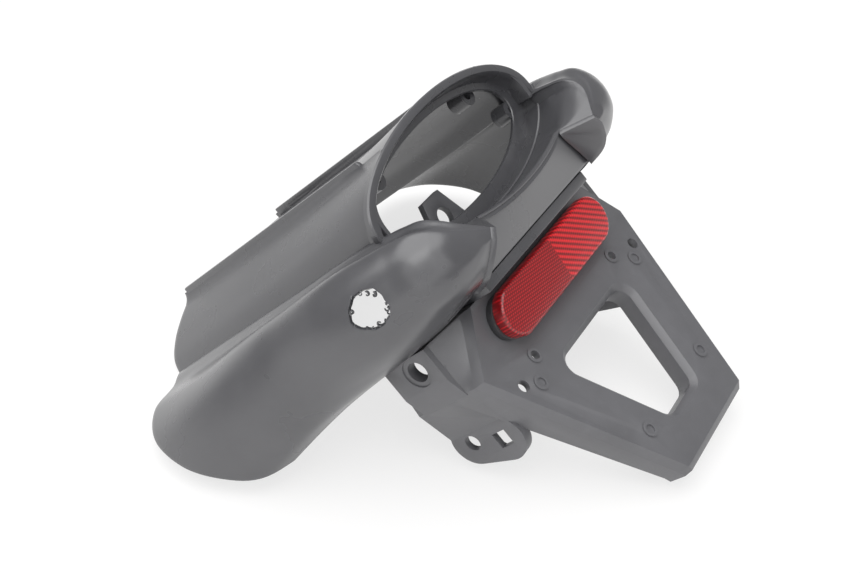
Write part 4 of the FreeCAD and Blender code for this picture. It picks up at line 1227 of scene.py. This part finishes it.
@dataclass
class Studio:
    """Pale floor, soft light and the camera."""

    camera_at: Triple = (-450.9, -405.6, 103.7)
    right: Triple = (0.4777, -0.6179, -0.6244)
    up: Triple = (0.5213, -0.3727, 0.7677)
    back: Triple = (-0.7071, -0.6923, 0.1441)
    lens: float = 61.3
    floor_normal: Triple = (0.0, -0.7108, 0.7034)
    floor_size: float = 6000.0
    floor_veil: float = 0.74
    surround: float = 0.6
    mirror_dim: float = 0.3
    lamps: tuple[tuple[str, Triple, float, float], ...] = (
        ("overhead_softbox", (-150.0, 200.0, 1100.0), 1600.0, 17.0),
        ("fill_light", (-900.0, -700.0, 800.0), 1900.0, 11.0),
    )
    flag_distance: float = 1800.0
    flag_rise: Pair = (16.0, 50.0)
    flag_turn: float = 26.0

    def basis(self) -> Matrix:
        """Turn of the floor: its own Z is the floor's normal."""
        side, up = Vector((1, 0, 0)), Vector(self.floor_normal).normalized()
        return Matrix((side, up.cross(side), up)).transposed()

    def build_floor(self) -> None:
        """Lay a pale floor under the part, open to views from below."""
        normal = Vector(self.floor_normal)
        lowest = min((normal.dot(v.co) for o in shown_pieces() for v in o.data.vertices), default=-0.05)
        half = self.floor_size * MM / 2
        turn = self.basis()
        base = normal.normalized() * (lowest - 0.0002)
        square = ((-half, -half), (half, -half), (half, half), (-half, half))
        corners = [base + turn @ Vector((x, y, 0)) for x, y in square]
        floor = mesh_of("floor", [c / MM for c in corners], [(0, 1, 2, 3)])
        finish, tree = blank("pale_floor")
        shader = add_node(
            tree, "ShaderNodeBsdfPrincipled", {"Base Color": srgb("#f3f2f1"), "Roughness": 0.6, "IOR": 1.3}
        )
        glow = add_node(tree, "ShaderNodeEmission", {"Color": srgb("#ffffff")})
        path = add_node(tree, "ShaderNodeLightPath")
        rays = {0: path.outputs["Is Camera Ray"], 1: path.outputs["Is Glossy Ray"]}
        seen = add_node(tree, "ShaderNodeMath", rays, operation="MAXIMUM")
        veil = add_node(tree, "ShaderNodeMath", {0: seen, 1: self.floor_veil}, operation="MULTIPLY")
        pale = add_node(tree, "ShaderNodeMixShader", {0: veil, 1: shader, 2: glow})
        clear = add_node(tree, "ShaderNodeBsdfTransparent")
        behind = add_node(tree, "ShaderNodeNewGeometry").outputs["Backfacing"]
        mixed = add_node(tree, "ShaderNodeMixShader", {0: behind, 1: pale, 2: clear})
        add_node(tree, "ShaderNodeOutputMaterial", {"Surface": mixed})
        floor.data.materials.append(finish)
        floor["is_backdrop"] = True

    def build_light(self) -> None:
        """Set a white surround, a broad lamp over the part and a softer one at its left."""
        world = bpy.data.worlds.new("studio")
        bpy.context.scene.world = world
        world.use_nodes = True
        tree = world.node_tree
        tree.nodes.clear()
        path = add_node(tree, "ShaderNodeLightPath")
        rays = {0: path.outputs["Is Camera Ray"], 1: path.outputs["Is Transmission Ray"]}
        seen = add_node(tree, "ShaderNodeMath", rays, operation="MAXIMUM")
        limits = (seen, 0.0, 1.0, self.surround, 1.0)
        strength = add_node(tree, "ShaderNodeMapRange", dict(zip(RANGE, limits)))
        # What the plastic mirrors is dimmer than what lights it
        mirrored = {0: path.outputs["Is Glossy Ray"], 1: -self.mirror_dim, 2: strength}
        dimmed = add_node(tree, "ShaderNodeMath", mirrored, operation="MULTIPLY_ADD")
        sky = add_node(tree, "ShaderNodeBackground", {"Color": srgb("#ffffff"), "Strength": dimmed})
        add_node(tree, "ShaderNodeOutputWorld", {"Surface": sky})
        turn = self.basis()
        for name, place, size, power in self.lamps:
            data = bpy.data.lights.new(name, "AREA")
            data.shape = "SQUARE"
            data.size = size * MM
            data.energy = power
            lamp = linked(name, data)
            lamp.visible_camera = False
            lamp.location = turn @ Vector(place) * MM
            lamp.rotation_euler = (-lamp.location).to_track_quat("-Z", "Y").to_euler()

    def build_flag(self) -> None:
        """Hang a dark flag behind the camera, which the satin plastic mirrors; cameras see through it."""
        up = Vector(self.floor_normal).normalized()
        facing = Vector(self.back) - up * Vector(self.back).dot(up)
        facing.normalize()
        side = up.cross(facing)
        rows, columns = 9, 13
        points = []
        for rise in np.linspace(*self.flag_rise, rows):
            for turn in np.linspace(-self.flag_turn, self.flag_turn, columns):
                out = facing * math.cos(math.radians(turn)) + side * math.sin(math.radians(turn))
                spot = out * math.cos(math.radians(rise)) + up * math.sin(math.radians(rise))
                points.append(spot * self.flag_distance)
        flag = mesh_of("dark_flag", points, quads(rows, columns))
        finish, tree = blank("black_flag_cloth")
        cloth = add_node(tree, "ShaderNodeBsdfDiffuse", {"Color": srgb("#141416")})
        clear = add_node(tree, "ShaderNodeBsdfTransparent")
        seen = add_node(tree, "ShaderNodeLightPath").outputs["Is Camera Ray"]
        mixed = add_node(tree, "ShaderNodeMixShader", {0: seen, 1: cloth, 2: clear})
        add_node(tree, "ShaderNodeOutputMaterial", {"Surface": mixed})
        flag.data.materials.append(finish)
        flag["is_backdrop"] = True

    def build_camera(self) -> None:
        """Set the camera at the photograph's place and angle."""
        data = bpy.data.cameras.new("camera")
        data.sensor_width = 36.0
        data.lens = self.lens
        data.clip_start = 0.01
        eye = linked("camera", data)
        turn = Matrix((self.right, self.up, self.back)).transposed().to_4x4()
        eye.matrix_world = Matrix.Translation(Vector(self.camera_at) * MM) @ turn
        bpy.context.scene.camera = eye

    def build(self) -> None:
        """Set up the whole studio."""
        bpy.context.scene.view_settings.view_transform = "Standard"
        self.build_floor()
        self.build_light()
        self.build_flag()
        self.build_camera()


def main() -> None:
    """Build and dress the part and set up the studio; each piece's face count is logged."""
    logging.basicConfig(level=logging.INFO, format="%(message)s")
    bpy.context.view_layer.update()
    cover_black = MouldedPlastic(
        "satin_black_polypropylene", "#434346", "#5b5b5e", 0.28, 0.35, 0.06, 0.1, 0.25
    ).material()
    holder_black = MouldedPlastic(
        "matt_black_polypropylene", "#565659", "#727276", 0.42, 0.45, 0.25, 0.2
    ).material()
    base_black = MouldedPlastic("black_abs", "#2e2e30", "#474749", 0.4, 0.4, 0.15, 0.1).material()
    zinc = ZincSteel().material()
    red = RedPrismAcrylic().material()
    TailCover(cover_black).dress()
    for row in (
        ("plate_holder", "plate_holder_moulding", "holder_plastic", holder_black, 0.5),
        ("reflector_base", "reflector_back_shell", "reflector_black", base_black, 0.3),
        ("reflector_lens", "reflector_lens_face", "reflector_red", red, 0.4),
        ("reflector_washer", "stud_washer", "zinc_steel", zinc, 0.15),
        ("reflector_nut", "stud_nut", "zinc_steel", zinc, 0.2),
        ("cover_screws", "sole_screws", "zinc_steel", zinc, 0.3),
    ):
        SoftenedNode(*row).dress()
    Studio().build()


if __name__ == "__main__":
    main()
